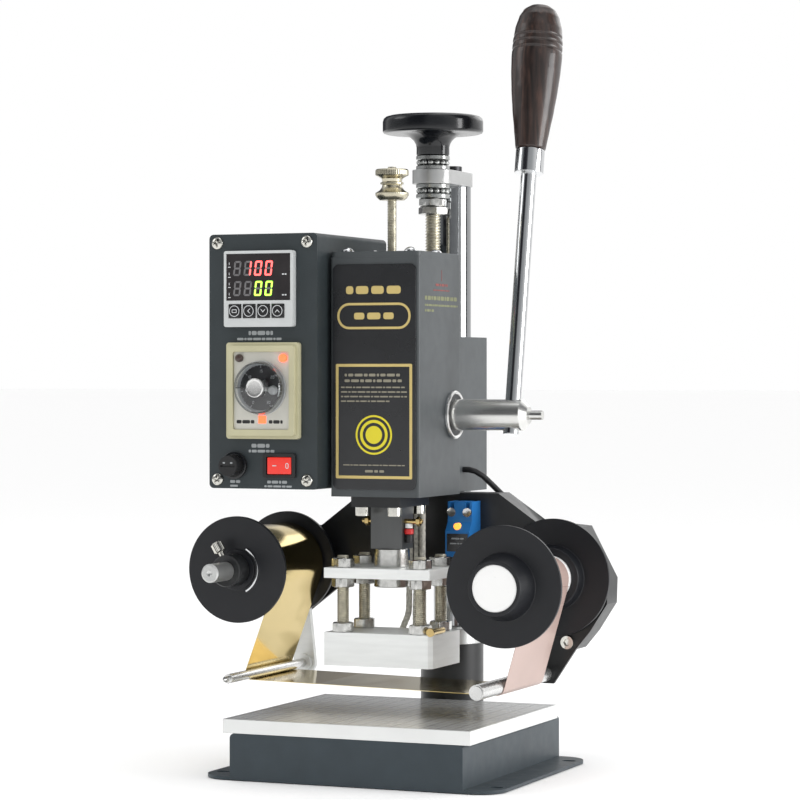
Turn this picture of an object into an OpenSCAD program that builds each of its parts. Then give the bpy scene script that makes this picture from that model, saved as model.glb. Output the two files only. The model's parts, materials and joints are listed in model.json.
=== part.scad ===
// Bench-top hot foil stamper: base and work table, column, height-adjustable head with a
// rack-driven heated ram, control box, and a foil feeder with a supply roll and a take-up roll.
// X points to the operator's right, Y points away from the operator, Z points up.
// The origin is the middle of the underside of the base.

/* [Base and table] */
// Width of the base box, without its side flanges
base_w = 156; // [150:1:160]
// Depth of the base box
base_d = 172; // [169:1:176]
// Height of the base box
base_h = 29; // [27:0.5:32]
// Width of one side flange
flange_w = 22; // [20:1:26]
// Sheet thickness of the base
sheet_t = 2; // [1.5:0.25:2.5]
// Width of the work table
table_w = 166; // [160:1:172]
// Depth of the work table
table_d = 155; // [150:1:156]
// Thickness of the work table
table_t = 8.8; // [8:0.2:9]

/* [Column and lift] */
// Radius of the column
column_r = 12.5; // [12:0.25:12.75]
// Distance of the column's axis behind the origin
column_y = 92; // [91:0.5:93]
// Radius of the lift screw
lift_r = 5; // [4:0.5:6]
// Radius of the handwheel
wheel_r = 33; // [28:1:38]

/* [Head] */
// Half of the head's width
head_hw = 30.4; // [30:0.1:31]
// Height of the head's underside
head_z0 = 175.5; // [175:0.5:176]
// Height of the top of the head casing
head_z1 = 326.2; // [322:0.2:328]
// Distance of the ram's axis from the origin, along Y
ram_y = -10.8; // [-11:0.1:-10.6]
// Height of the lever shaft's axis
shaft_z = 226.6; // [224:0.2:229]

/* [Heating block] */
// Half of the block's width
block_hw = 36.8; // [36:0.1:38]
// Depth of the block
block_d = 47.5; // [46:0.5:49]
// Height of the block's underside
block_z0 = 68.4; // [67:0.2:70]
// Height of the block
block_h = 21; // [19:0.5:22]

/* [Control box] */
// Width of the control box
box_w = 75.3; // [74:0.1:77]
// Height of the control box
box_h = 161; // [158:1:165]
// Depth of the control box behind its front panel
box_d = 109.6; // [100:0.2:112]

/* [Foil feeder] */
// Radius of the supply roll's discs
supply_r = 34; // [32:0.5:35]
// Radius of the foil wound on the supply roll
wound_r = 26.4; // [20:0.2:29]
// Radius of the take-up roll's discs
takeup_r = 37.7; // [36:0.1:38]
// Width of the foil
foil_w = 70; // [50:1:70]

/* [Hidden] */
$fn = 72;
fit = 0.05;              // radial clearance of running fits
gap = 0.3;               // clearance between bodies that only pass each other

// Stand
table_y = -8.5;
table_z = base_h + table_t;
slot_x = 92;
slot_y = 66;
slot_w = 5.5;
slot_l = 9;
socket_r = 21;
foot_hw = 27;
foot_y1 = 117;
socket_z1 = 73.7;
collar_z1 = 85;
bracket_z0 = 377.3;
bracket_t = 9.2;
bracket_z1 = bracket_z0 + bracket_t;
bracket_r = 13.5;
bearing_r = 11;
bearing_h = 9.4;

// Lift screw and handwheel
lift_y = 58;
wheel_z0 = bracket_z1 + bearing_h + 0.1;
wheel_z1 = 422;
lift_z0 = 238;

// Head
head_y0 = -39;
head_y1 = 31;
wall = 5.4;
cover_t = 3.4;
cover_z1 = head_z1 + cover_t;
cover_screw_x = 21.5;
cover_screw_y = [-32, 10];
block_rear = 110;
block_top = 277;
block_hw_rear = 20;
bush_r = 15;
bolt_x = 16;
bolt_z = [191, 264];
spring_y = -20;
spring_pin_z = [241, head_z1 - 9];

// Lever shaft, pinion and rack
tooth_m = 1.5;
teeth = 20;
pitch_r = tooth_m * teeth / 2;
shaft_y = 17.2;
shaft_r = 10;
shaft_x1 = 78.5;
pinion_hw = 9;
backlash = 0.16;
rack_y = shaft_y - pitch_r;
lever_x = 71;
lever_tilt = 11;
lever_r = 5;
grip_z0 = 173.5;
rod_end = 190;

// Ram
ram_hw = 10.7;
ram_hd = 9.3;
ram_z0 = 142;
ram_z1 = 300;
guide_z0 = 169;
guide_z1 = 186;
plate_z0 = 123.8;
plate_z1 = 130.3;
plate_d = 50.6;
stud_x = 26.5;
stud_dy = 17;
stud_r = 3.9;
nut_af = 13;
nut_h = 6;
knob_z0 = 363;
knob_z1 = 382.7;
stop_r = 3;

// Control box
box_x1 = -head_hw - 2;
box_x0 = box_x1 - box_w;
box_xc = (box_x0 + box_x1) / 2;
box_z0 = 180.2;
box_z1 = box_z0 + box_h;
box_zc = (box_z0 + box_z1) / 2;
panel_y = -54.4;
panel_t = 1.5;
box_y1 = panel_y + panel_t + box_d;
ctrl_x = -71;
ctrl_z = 306.4;
ctrl_s = 48;
bezel_t = 5;
key_z = 292.4;
key_x = [-87.2, -77.2, -67.2, -57.2];
key_s = 8.4;
timer_x = -68.6;
timer_z = 242.2;
timer_w = 50.4;
timer_h = 60.8;
dial_z = 244;
fuse_x = -89.2;
fuse_z = 194.8;
rocker_x = -58;
rocker_z = 195;
gland_x = -70;
gland_z = 200;
panel_screw_x = [box_x0 + 6, box_x1 - 7];
panel_screw_z = [box_z0 + 5.6, box_z1 - 5.6];

// Foil feeder
feeder_y = 45;
feeder_t = 2.5;
feeder_lip = 20;
supply_c = [-93, 128];
takeup_c = [90.5, 122.5];
rod_l = [-85.5, 61.3];
rod_l_r = 3;
rod_r = [83, 60];
rod_r_r = 4.8;
foil_t = 0.3;
foil_y0 = -42;
core_r = 14.6;
spindle_r = 6;
drive_r = 4;
sensor_x = [21.8, 38.5];

// ---------- helpers ----------
module rounded(w, h, r) {
    square([w - 2 * r, h], center = true);
    square([w, h - 2 * r], center = true);
    for (x = [-1, 1], y = [-1, 1])
        translate([x * (w / 2 - r), y * (h / 2 - r)]) circle(r = r);
}

// An outline in X and Z, given thickness t behind the plane y
module slab(y, t) {
    translate([0, y + t, 0]) rotate([90, 0, 0]) linear_extrude(t) children();
}

// An outline in Y and Z, given a width from x0 to x1
module slice(x0, x1) {
    translate([x0, 0, 0]) rotate([90, 0, 90]) linear_extrude(x1 - x0) children();
}

module rod_x(y, z, x0, x1, r) {
    translate([x0, y, z]) rotate([0, 90, 0]) cylinder(r = r, h = x1 - x0);
}

module rod_y(x, z, y0, y1, r, r2 = -1) {
    translate([x, y1, z]) rotate([90, 0, 0])
        cylinder(r1 = r, r2 = r2 < 0 ? r : r2, h = y1 - y0);
}

module rod_z(x, y, z0, z1, r) {
    translate([x, y, z0]) cylinder(r = r, h = z1 - z0);
}

module brick(x, y, z) {
    translate([x[0], y[0], z[0]]) cube([x[1] - x[0], y[1] - y[0], z[1] - z[0]]);
}

module hex_z(x, y, z0, z1, af, turn = 0) {
    translate([x, y, z0]) rotate([0, 0, turn])
        cylinder(r = af / sqrt(3), h = z1 - z0, $fn = 6);
}

// A low domed screw head at the origin, pointing up
module dome(r, h) {
    ball = (r * r + h * h) / (2 * h);
    intersection() {
        translate([0, 0, h - ball]) sphere(r = ball);
        cylinder(r = r, h = h);
    }
}

module seg_box(p, q, t) {
    run = q - p;
    translate(p) rotate(atan2(run[1], run[0])) square([norm(run), t]);
}

// ---------- foil path ----------
// The foil leaves the wound roll on its right side, passes under the left rod and the right
// rod, and goes up to the right side of the take-up core. Its straight runs are tangents.
function unit(a) = [cos(a), sin(a)];
function arc(c, r, a0, a1, n) = [for (i = [0:n]) c + r * unit(a0 + (a1 - a0) * i / n)];

foil_gap = 0.2;
loop_x = 38;
path_supply_r = wound_r + gap;
path_l_r = rod_l_r + foil_gap;
path_r_r = rod_r_r + foil_gap;
path_core_r = core_r + gap;

down = rod_l - supply_c;
down_a = atan2(down[1], down[0])
    + acos((path_supply_r + path_l_r + foil_t) / norm(down));
up = takeup_c - rod_r;
up_a = atan2(up[1], up[0]) - acos((path_r_r - path_core_r) / norm(up));
across = rod_r - rod_l;
across_a = atan2(across[1], across[0]) - 90 - asin((path_r_r - path_l_r) / norm(across));

// A point of the run between the two rods, a distance e below its upper face
function span_point(x, e) =
    let (a = rod_l + path_l_r * unit(across_a), b = rod_r + path_r_r * unit(across_a))
    a + (b - a) * (x - a[0]) / (b[0] - a[0]) + e * unit(across_a);
function supply_run(e) = concat(
    [supply_c + (path_supply_r + e) * unit(down_a)],
    arc(rod_l, path_l_r + foil_t - e, down_a + 180, across_a + 360, 12),
    [span_point(-loop_x - gap, foil_t - e)]);
function takeup_run(e) = concat(
    [span_point(loop_x + gap, e)],
    arc(rod_r, path_r_r + e, across_a, up_a, 12),
    [takeup_c + (path_core_r + e) * unit(up_a)]);
function reversed(list) = [for (i = [len(list) - 1:-1:0]) list[i]];

// ---------- stand ----------
module base_profile(w, h, r) {
    translate([-w / 2, 0]) square([w, h - r]);
    translate([-w / 2 + r, 0]) square([w - 2 * r, h]);
    for (s = [-1, 1]) translate([s * (w / 2 - r), h - r]) circle(r = r);
}

module slot_holes() {
    for (x = [-1, 1], y = [-1, 1]) translate([x * slot_x, y * slot_y]) {
        square([slot_l - slot_w, slot_w], center = true);
        for (s = [-1, 1]) translate([s * (slot_l - slot_w) / 2, 0]) circle(r = slot_w / 2);
    }
}

// The base box with its two slotted flanges, and the column's foot behind it
module base_frame() {
    color("#4b5054") difference() {
        union() {
            slab(-base_d / 2, base_d) base_profile(base_w, base_h, 3);
            slab(base_d / 2 - 1, foot_y1 - base_d / 2 + 1) base_profile(2 * foot_hw, base_h, 3);
            linear_extrude(sheet_t) difference() {
                rounded(base_w + 2 * flange_w, base_d, 18);
                slot_holes();
            }
        }
        slab(-base_d / 2 + sheet_t, base_d - 2 * sheet_t)
            translate([0, -1]) base_profile(base_w - 2 * sheet_t, base_h - sheet_t + 1, 1.5);
        slab(base_d / 2 - sheet_t - 1, foot_y1 - base_d / 2 + 1)
            translate([0, -1]) base_profile(2 * (foot_hw - sheet_t), base_h - sheet_t + 1, 1.5);
        for (p = stand_screw_places()) rod_z(p[0], p[1], base_h - 5, base_h + 1, p[2] + 0.2);
    }
}

module base_plate() {
    color("#4b5054") brick([-(base_w / 2 - sheet_t), base_w / 2 - sheet_t],
        [-(base_d / 2 - sheet_t), base_d / 2 - sheet_t], [0, 1.5]);
}

function stand_screw_places() = concat(
    [for (x = [-1, 1], y = [-1, 1]) [x * 60, table_y + y * 60, 2.5]],
    [for (a = [45:90:315]) [16.8 * cos(a), column_y + 16.8 * sin(a), 2]]);

module stand_screws() {
    color("#3a3c40") {
        for (p = stand_screw_places()) {
            rod_z(p[0], p[1], base_h - sheet_t, base_h + 6, p[2]);
            rod_z(p[0], p[1], base_h - sheet_t - 3, base_h - sheet_t, p[2] + 2);
        }
        rod_z(0, column_y, bracket_z0 - 16, bracket_z1, 4);
        difference() {
            rod_z(0, column_y, bracket_z1, bracket_z1 + 4.5, 6.5);
            hex_z(0, column_y, bracket_z1 + 1.5, bracket_z1 + 5, 5);
        }
    }
}

module work_table() {
    color("#dfe2e0") difference() {
        brick([-table_w / 2, table_w / 2], [table_y - table_d / 2, table_y + table_d / 2],
            [base_h, table_z]);
        for (p = stand_screw_places()) rod_z(p[0], p[1], base_h - 1, base_h + 6, p[2]);
    }
}

module column_socket() {
    color("#303236") difference() {
        rod_z(0, column_y, base_h, socket_z1, socket_r);
        rod_z(0, column_y, base_h + 4, socket_z1 + 1, column_r);
        for (p = stand_screw_places()) rod_z(p[0], p[1], base_h - 1, base_h + 6, p[2]);
    }
}

module column_collar() {
    color("#c9cccf") difference() {
        union() {
            rod_z(0, column_y, socket_z1, collar_z1 - 1.5, socket_r - 0.5);
            translate([0, column_y, collar_z1 - 1.5])
                cylinder(r1 = socket_r - 0.5, r2 = socket_r - 2, h = 1.5);
        }
        rod_z(0, column_y, socket_z1 - 1, collar_z1 + 1, column_r);
    }
}

module column() {
    color("#d5d8da") difference() {
        rod_z(0, column_y, base_h + 4, bracket_z0, column_r);
        rod_z(0, column_y, bracket_z0 - 16, bracket_z0 + 1, 4);
    }
}

module top_bracket() {
    color("#c9cccf") translate([0, 0, bracket_z0]) linear_extrude(bracket_t) difference() {
        union() {
            for (y = [lift_y, column_y]) translate([0, y]) circle(r = bracket_r);
            translate([-bracket_r, lift_y]) square([2 * bracket_r, column_y - lift_y]);
        }
        translate([0, lift_y]) circle(r = lift_r + fit);
        translate([0, column_y]) circle(r = 4);
    }
}

module screw_bearings() {
    color("#b9bcbe") for (z = [bracket_z1, bracket_z0 - bearing_h]) difference() {
        rod_z(0, lift_y, z, z + bearing_h, bearing_r);
        rod_z(0, lift_y, z - 1, z + bearing_h + 1, lift_r + fit);
    }
}

// ---------- lift screw and handwheel ----------
module handwheel() {
    rim = 5;
    disc_z = wheel_z1 - 2 * rim - 2;
    color("#1d1e20") translate([0, lift_y, 0]) rotate_extrude() difference() {
        union() {
            translate([0, wheel_z0]) square([12, disc_z - wheel_z0 + 1]);
            polygon([[0, wheel_z0 + 5], [12, wheel_z0 + 5], [26, disc_z + 1], [0, disc_z + 1]]);
            translate([0, disc_z]) square([wheel_r - rim, wheel_z1 - disc_z]);
            translate([0, disc_z + rim]) square([wheel_r, wheel_z1 - disc_z - 2 * rim]);
            for (z = [disc_z + rim, wheel_z1 - rim])
                translate([wheel_r - rim, z]) circle(r = rim);
        }
        translate([0, wheel_z0 - 1]) square([lift_r, wheel_z1 - wheel_z0 - 2]);
        translate([-60, wheel_z0 - 1]) square([60, 60]);
        translate([15, wheel_z1 - 2]) square([10, 4]);
    }
}

module lift_screw() {
    nut_top = bracket_z0 - bearing_h - 0.1;
    color("#a8a48f") rod_z(0, lift_y, lift_z0, wheel_z1 - 3, lift_r);
    color("#c2c3c2") for (i = [0, 1]) difference() {
        hex_z(0, lift_y, nut_top - 5.2 - i * 5.4, nut_top - i * 5.4, 17, 12 + i * 25);
        rod_z(0, lift_y, nut_top - 12, nut_top + 1, lift_r);
    }
}

// ---------- head ----------
module head_outline(inset = 0, r = 2) {
    translate([0, (head_y0 + head_y1) / 2])
        rounded(2 * (head_hw - inset), head_y1 - head_y0 - 2 * inset, r);
}

module head_casing() {
    color("#5a5d60") difference() {
        union() {
            difference() {
                translate([0, 0, head_z0]) linear_extrude(head_z1 - head_z0) head_outline();
                translate([0, 0, head_z0 + wall]) linear_extrude(head_z1) head_outline(wall, 1);
            }
            for (x = [-1, 1], y = cover_screw_y)
                rod_z(x * cover_screw_x, y, head_z1 - 26, head_z1, 4.5);
            rod_x(spring_y, spring_pin_z[1], -head_hw + 1, -13, 1.3);
        }
        for (x = [-1, 1], y = cover_screw_y)
            rod_z(x * cover_screw_x, y, head_z1 - 12, head_z1 + 1, 2);
        rod_x(shaft_y, shaft_z, -head_hw - 1, head_hw + 1, 12);
        brick([-15, 15], [-26, 3], [head_z0 - 1, head_z0 + wall + 1]);
        brick([-12, 12], [head_y1 - wall - 1, head_y1 + 1], [shaft_z - 18.5, shaft_z + 18.5]);
        for (p = guide_screw_places()) rod_z(p[0], p[1], head_z0 - 1, head_z0 + 3, 2.5);
        for (x = [-1, 1], z = bolt_z)
            rod_y(x * bolt_x, z, head_y1 - wall - 1, head_y1 + 1, 3);
        brick([box_x1 - 1, -head_hw + wall + 1], [-8, 8], [252, 268]);
    }
}

function guide_screw_places() = [for (x = [-1, 1], y = [-33, 6.5]) [x * 11, y]];

module head_cover() {
    color("#4a4d50") difference() {
        translate([0, 0, head_z1]) linear_extrude(cover_t) head_outline(0, 4);
        rod_z(0, ram_y, head_z1 - 1, cover_z1 + 1, stop_r + gap);
        for (x = [-1, 1], y = cover_screw_y)
            rod_z(x * cover_screw_x, y, head_z1 - 1, cover_z1 + 1, 2);
    }
}

module head_screws() {
    color("#d0d2d3") for (x = [-1, 1], y = cover_screw_y) {
        rod_z(x * cover_screw_x, y, head_z1 - 8, cover_z1, 2);
        translate([x * cover_screw_x, y, cover_z1]) dome(4.2, 2.8);
    }
    color("#b5b6b4") for (p = guide_screw_places()) difference() {
        union() {
            rod_z(p[0], p[1], guide_z0 - 5.6, guide_z0, 4.25);
            rod_z(p[0], p[1], guide_z0, head_z0 + 3, 2.5);
        }
        hex_z(p[0], p[1], guide_z0 - 6, guide_z0 - 3, 4);
    }
    color("#3a3c40") for (x = [-1, 1], z = bolt_z) {
        rod_y(x * bolt_x, z, head_y1 - wall, head_y1 + 12, 3);
        rod_y(x * bolt_x, z, head_y1 - wall - 5, head_y1 - wall, 5);
    }
}

module label_plate() {
    color("#18191b") slab(head_y0 - 1, 1)
        translate([0, (head_z0 + head_z1) / 2]) rounded(56.6, 141.4, 4);
}

module rear_block() {
    round_r = 7;
    depth = block_rear - head_y1;
    color("#5a5d60") difference() {
        translate([0, head_y1, head_z0]) linear_extrude(block_top - head_z0) {
            translate([-block_hw_rear, 0]) square([2 * block_hw_rear, depth - round_r]);
            translate([-block_hw_rear + round_r, 0])
                square([2 * (block_hw_rear - round_r), depth]);
            for (s = [-1, 1])
                translate([s * (block_hw_rear - round_r), depth - round_r]) circle(r = round_r);
        }
        rod_z(0, column_y, head_z0 - 1, block_top + 1, bush_r);
        rod_z(0, lift_y, block_top - 27, block_top + 1, 9);
        rod_z(0, lift_y, 190, block_top, lift_r + 1);
        brick([-12, 12], [head_y1 - 1, head_y1 + 4.5], [shaft_z - 18.5, shaft_z + 18.5]);
        for (x = [-1, 1], z = bolt_z) rod_y(x * bolt_x, z, head_y1 - 1, head_y1 + 12, 3);
        for (x = [-1, 1]) rod_z(x * 12, 56, head_z0 - 1, head_z0 + 8, 2.5);
    }
}

module bushes() {
    color("#c9a24a") for (z = [head_z0, block_top - 26]) difference() {
        rod_z(0, column_y, z, z + 26, bush_r);
        rod_z(0, column_y, z - 1, z + 27, column_r + fit);
    }
    color("#d8dadb") for (s = [-1, 1]) difference() {
        union() {
            rod_x(shaft_y, shaft_z, s > 0 ? head_hw - wall : -head_hw,
                s > 0 ? head_hw : -head_hw + wall, 12);
            if (s > 0) rod_x(shaft_y, shaft_z, head_hw, head_hw + 1.6, 15.4);
        }
        rod_x(shaft_y, shaft_z, -head_hw - 1, head_hw + 3, shaft_r + fit);
    }
}

module lift_nut() {
    color("#c9a24a") difference() {
        union() {
            rod_z(0, lift_y, block_top - 27, block_top, 9);
            rod_z(0, lift_y, block_top, block_top + 4, 13);
        }
        rod_z(0, lift_y, block_top - 28, block_top + 5, lift_r + fit);
    }
}

module guide_flange() {
    color("#242528") difference() {
        brick([-16.5, 16.5], [-38, 11], [guide_z0, head_z0]);
        brick([-ram_hw - 0.2, ram_hw + 0.2], [ram_y - ram_hd - 0.2, ram_y + ram_hd + 0.2],
            [guide_z0 - 1, head_z0 + 1]);
        for (p = guide_screw_places()) rod_z(p[0], p[1], guide_z0 - 1, head_z0 + 1, 2.5);
    }
}

module ram_guide() {
    color("#b98f3e") difference() {
        brick([-15, 15], [-26, 3], [head_z0, guide_z1]);
        brick([-ram_hw - fit, ram_hw + fit], [ram_y - ram_hd - fit, ram_y + ram_hd + fit],
            [head_z0 - 1, guide_z1 + 1]);
    }
}

// A tension spring between a pin in the casing and a pin on the ram
module return_spring() {
    wire = 0.9;
    coil_r = 3.6;
    hook_r = 2.7;
    hooks = [spring_pin_z[0] + 0.3, spring_pin_z[1] - 0.3];
    z0 = hooks[0] + hook_r + wire / 2;
    z1 = hooks[1] - hook_r - wire / 2;
    turns = floor((z1 - z0) / (2.1 * wire));
    color("#9fa3a6") translate([-18, spring_y, 0]) {
        for (i = [0:turns - 1]) translate([0, 0, z0 + i * (z1 - z0) / (turns - 1)])
            rotate_extrude($fn = 40) translate([coil_r, 0]) circle(r = wire, $fn = 16);
        for (z = hooks) translate([0, 0, z]) rotate([0, 90, 0])
            rotate_extrude($fn = 40) translate([hook_r, 0]) circle(r = wire, $fn = 16);
        for (z = [z0, z1]) rod_y(0, z, -coil_r, coil_r, wire);
    }
}

// ---------- control box ----------
module control_box() {
    color("#4b4e51") difference() {
        slab(panel_y + panel_t, box_d) translate([box_xc, box_zc]) rounded(box_w, box_h, 3);
        slab(panel_y + panel_t - 1, box_d + 1 - 1.6)
            translate([box_xc, box_zc]) rounded(box_w - 3.2, box_h - 3.2, 1.6);
        rod_y(gland_x, gland_z, box_y1 - 5, box_y1 + 1, 8);
        brick([box_x1 - 3, box_x1 + 1], [-8, 8], [252, 268]);
    }
    color("#303236") difference() {
        brick([box_x1, -head_hw], [-24, 24], [205, 300]);
        brick([box_x1 - 1, -head_hw + 1], [-8, 8], [252, 268]);
        rod_x(shaft_y, shaft_z, box_x1 - 1, -head_hw + 1, 13);
    }
}

module control_panel() {
    color("#4b4e51") difference() {
        slab(panel_y, panel_t) translate([box_xc, box_zc]) rounded(box_w, box_h, 3);
        brick([ctrl_x - 22.5, ctrl_x + 22.5], [panel_y - 1, panel_y + 3],
            [ctrl_z - 22.5, ctrl_z + 22.5]);
        brick([timer_x - 22, timer_x + 22], [panel_y - 1, panel_y + 3],
            [timer_z - 25, timer_z + 25]);
        brick([rocker_x - 9.5, rocker_x + 9.5], [panel_y - 1, panel_y + 3],
            [rocker_z - 6.4, rocker_z + 6.4]);
        rod_y(fuse_x, fuse_z, panel_y - 1, panel_y + 3, 6);
        for (x = panel_screw_x, z = panel_screw_z) rod_y(x, z, panel_y - 1, panel_y + 3, 1.75);
    }
}

module panel_screws() {
    color("#c8cacb") for (x = panel_screw_x, z = panel_screw_z) {
        rod_y(x, z, panel_y, panel_y + 1.4, 1.75);
        translate([x, panel_y, z]) rotate([90, 0, 0]) dome(4, 2.4);
    }
}

module temp_controller() {
    front = panel_y - bezel_t;
    color("#c9cbcb") difference() {
        slab(front, bezel_t) translate([ctrl_x, ctrl_z]) rounded(ctrl_s, ctrl_s, 1.5);
        brick([ctrl_x - 22.3, ctrl_x + 22.3], [front - 1, front + 1], [299, 328.6]);
        for (x = key_x) brick([x - key_s / 2 - gap, x + key_s / 2 + gap],
            [front - 1, front + 3.6], [key_z - key_s / 2 - gap, key_z + key_s / 2 + gap]);
    }
    color("#202124") slab(panel_y, 66) translate([ctrl_x, ctrl_z]) rounded(44.6, 44.6, 1);
    color("#141012") brick([ctrl_x - 22.2, ctrl_x + 22.2], [front + 0.2, front + 1],
        [299.1, 328.5]);
}

module timer() {
    front = panel_y - 6.5;
    color("#ddd6c2") difference() {
        union() {
            slab(panel_y - 4, 4) translate([timer_x, timer_z]) rounded(timer_w, timer_h, 2);
            slab(front, 3) translate([timer_x, timer_z]) rounded(timer_w - 4, timer_h - 4, 2);
            slab(panel_y, 62) translate([timer_x, timer_z]) rounded(43.6, 49.6, 1);
        }
        slab(front - 1, 3) translate([timer_x, timer_z]) rounded(39, 49, 1.5);
        rod_y(timer_x, dial_z, front - 1, panel_y - 1, 2.5 + fit);
    }
    color("#232427") difference() {
        rod_y(timer_x, dial_z, front + 1, front + 2, 16);
        rod_y(timer_x, dial_z, front - 1, front + 3, 2.5 + fit);
    }
    color("#d0302a") for (s = [-1, 1])
        rod_y(timer_x + s * 15.2, timer_z + 20.5, front - 0.6, front + 2, 1.9);
}

// Bezel and housing of the rocker switch, and body of the fuse holder
module panel_fittings() {
    color("#18191b") difference() {
        union() {
            slab(panel_y - 2.2, 2.2) translate([rocker_x, rocker_z]) rounded(22.6, 15.6, 1.5);
            slab(panel_y, 20) translate([rocker_x, rocker_z]) rounded(19, 12.8, 1);
        }
        slab(panel_y - 3, 11) translate([rocker_x, rocker_z]) rounded(17.4, 11.2, 0.5);
    }
    color("#18191b") difference() {
        union() {
            rod_y(fuse_x, fuse_z, panel_y - 2.6, panel_y, 8.4);
            rod_y(fuse_x, fuse_z, panel_y, panel_y + 26, 6);
        }
        rod_y(fuse_x, fuse_z, panel_y - 3, panel_y + 22, 4.6);
    }
}

module relay() {
    color("#d8d6cc") difference() {
        brick([box_x1 - 26, box_x1 - 1.6], [9.5, 51], [188, 233]);
        for (z = [192, 229]) rod_x(30, z, box_x1 - 27, box_x1 - 1, 2.2);
    }
}

module cable_gland() {
    color("#1d1e20") difference() {
        union() {
            rod_y(gland_x, gland_z, box_y1 - 8, box_y1 + 4, 7.9);
            translate([gland_x, box_y1 + 4, gland_z]) rotate([90, 0, 0])
                cylinder(r = 22 / sqrt(3), h = 4, $fn = 6);
            translate([gland_x, box_y1 - 1.6, gland_z]) rotate([90, 0, 0])
                cylinder(r = 22 / sqrt(3), h = 4, $fn = 6);
            translate([gland_x, box_y1 + 4, gland_z]) rotate([-90, 0, 0])
                cylinder(r1 = 9.5, r2 = 7.5, h = 9);
        }
        rod_y(gland_x, gland_z, box_y1 - 9, box_y1 + 14, 4);
    }
}

// ---------- foil feeder ----------
feeder_outline = [[-46, head_z0], [51, head_z0], [77, 157.5], [108, 155], [125.5, 122],
    [125, 106], [113.5, 88], [104, 76.5], [89, 54], [78, 54], [76, 66], [66, 98], [56, 119],
    [-50, 119], [-63, 111], [-83, 95.5], [-100, 98], [-112, 115], [-112, 138], [-98, 153],
    [-74.5, 152.5], [-52, 169.5]];
lip_edges = 7;           // the outline's first edges carry the rear lip

module feeder_plate() {
    color("#1f2022") difference() {
        union() {
            slab(feeder_y, feeder_t) polygon(feeder_outline);
            slab(feeder_y, feeder_lip) intersection() {
                polygon(feeder_outline);
                for (i = [0:lip_edges - 1])
                    seg_box(feeder_outline[i + 1], feeder_outline[i], feeder_t);
            }
        }
        rod_y(supply_c[0], supply_c[1], feeder_y - 1, feeder_y + 4, spindle_r + fit);
        rod_y(takeup_c[0], takeup_c[1], feeder_y - 1, feeder_y + 4, drive_r + fit);
        rod_y(rod_r[0], rod_r[1], feeder_y - 1, feeder_y + 4, 3);
        for (x = [-1, 1]) rod_z(x * 12, 56, head_z0 - 4, head_z0 + 1, 2.5);
    }
    color("#b5b6b4") for (x = [-1, 1]) {
        rod_z(x * 12, 56, head_z0 - feeder_t, head_z0 + 8, 2.5);
        rod_z(x * 12, 56, head_z0 - feeder_t - 4, head_z0 - feeder_t, 4.25);
    }
    color("#b5b6b4") difference() {
        rod_y(99, 81, feeder_y - 3.4, feeder_y, 4.25);
        translate([99, feeder_y - 1.6, 81]) rotate([90, 0, 0])
            cylinder(r = 4 / sqrt(3), h = 3, $fn = 6);
    }
}

module photo_sensor() {
    mid = (sensor_x[0] + sensor_x[1]) / 2;
    color("#2f6fb0") difference() {
        slice(sensor_x[0], sensor_x[1]) polygon([[feeder_y, 132.8], [feeder_y, 170.5],
            [30, 170.5], [30, 157.5], [25.5, 151.5], [25.5, 132.8]]);
        for (s = [-1, 1]) brick([mid + s * 5.4 - 1.3, mid + s * 5.4 + 1.3], [25, feeder_y + 1],
            [162, 171]);
    }
    color("#c8cacb") for (s = [-1, 1]) {
        rod_y(mid + s * 5.4, 163.6, 28.4, 30, 2.9);
        rod_y(mid + s * 5.4, 163.6, 29, feeder_y, 1);
    }
    color("#f2a23a") rod_y(mid - 0.5, 154.6, 25.8, 33, 2.2);
}

module guide_rods() {
    color("#d5d8da") {
        rod_y(rod_l[0], rod_l[1], -73, feeder_y - 7, rod_l_r);
        rod_y(rod_l[0], rod_l[1], -77, -73, 1.8);
        rod_y(rod_l[0], rod_l[1], -80, -77, 1.8, 0.3);
        rod_y(rod_r[0], rod_r[1], -77, -76, rod_r_r - 0.8);
        rod_y(rod_r[0], rod_r[1], -76, feeder_y, rod_r_r);
        rod_y(rod_r[0], rod_r[1], feeder_y, feeder_y + 6, 3);
    }
    color("#c9cacf") union() {
        slab(feeder_y - 4, 4) {
            polygon([[-91, 101], [-82, 101], [rod_l[0] + 7.6, rod_l[1] + 2],
                [rod_l[0] - 7.6, rod_l[1] + 2]]);
            translate(rod_l) circle(r = 7.8);
            translate([-86.5, 101]) circle(r = 4.5);
        }
        rod_y(rod_l[0], rod_l[1], feeder_y - 7, feeder_y - 4, 6);
    }
}

module gear_motor() {
    y0 = feeder_y + feeder_t;
    color("#b4b7b9") rod_y(takeup_c[0], takeup_c[1], y0, y0 + 22, 16.5);
    color("#8f9396") rod_y(takeup_c[0], takeup_c[1], y0 + 22, y0 + 50, 13.8);
    color("#d9d9d4") rod_y(takeup_c[0], takeup_c[1], y0 + 50, y0 + 54, 5);
}

// Route of the motor's lead: out of the rear block's side, over the feeder's top edge and
// down behind the plate to the motor's end
cable_route = [[20, 62, 190], [24, 62, 190], [28, 63, 189], [32, 66, 186], [36, 70, 181],
    [42, 74, 174], [50, 78, 165], [58, 83, 155], [66, 88, 146], [74, 94, 139], [80, 100, 135],
    [85, 105, 132], [89, 109, 129], [90.5, 110.5, 125.6], [90.5, 108.8, 123.2],
    [90.5, 105.4, 122.5], [90.5, 101.5, 122.5]];
cable_r = 2;

function heading(p, i) = let (a = p[max(i - 1, 0)], b = p[min(i + 1, len(p) - 1)])
    (b - a) / norm(b - a);
function ring(c, d, r, n) =
    let (s = cross(d, [0.31, 0.17, 0.93]), u = s / norm(s), v = cross(d, u))
    [for (k = [0:n - 1]) c + r * (cos(k * 360 / n) * u + sin(k * 360 / n) * v)];

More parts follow.
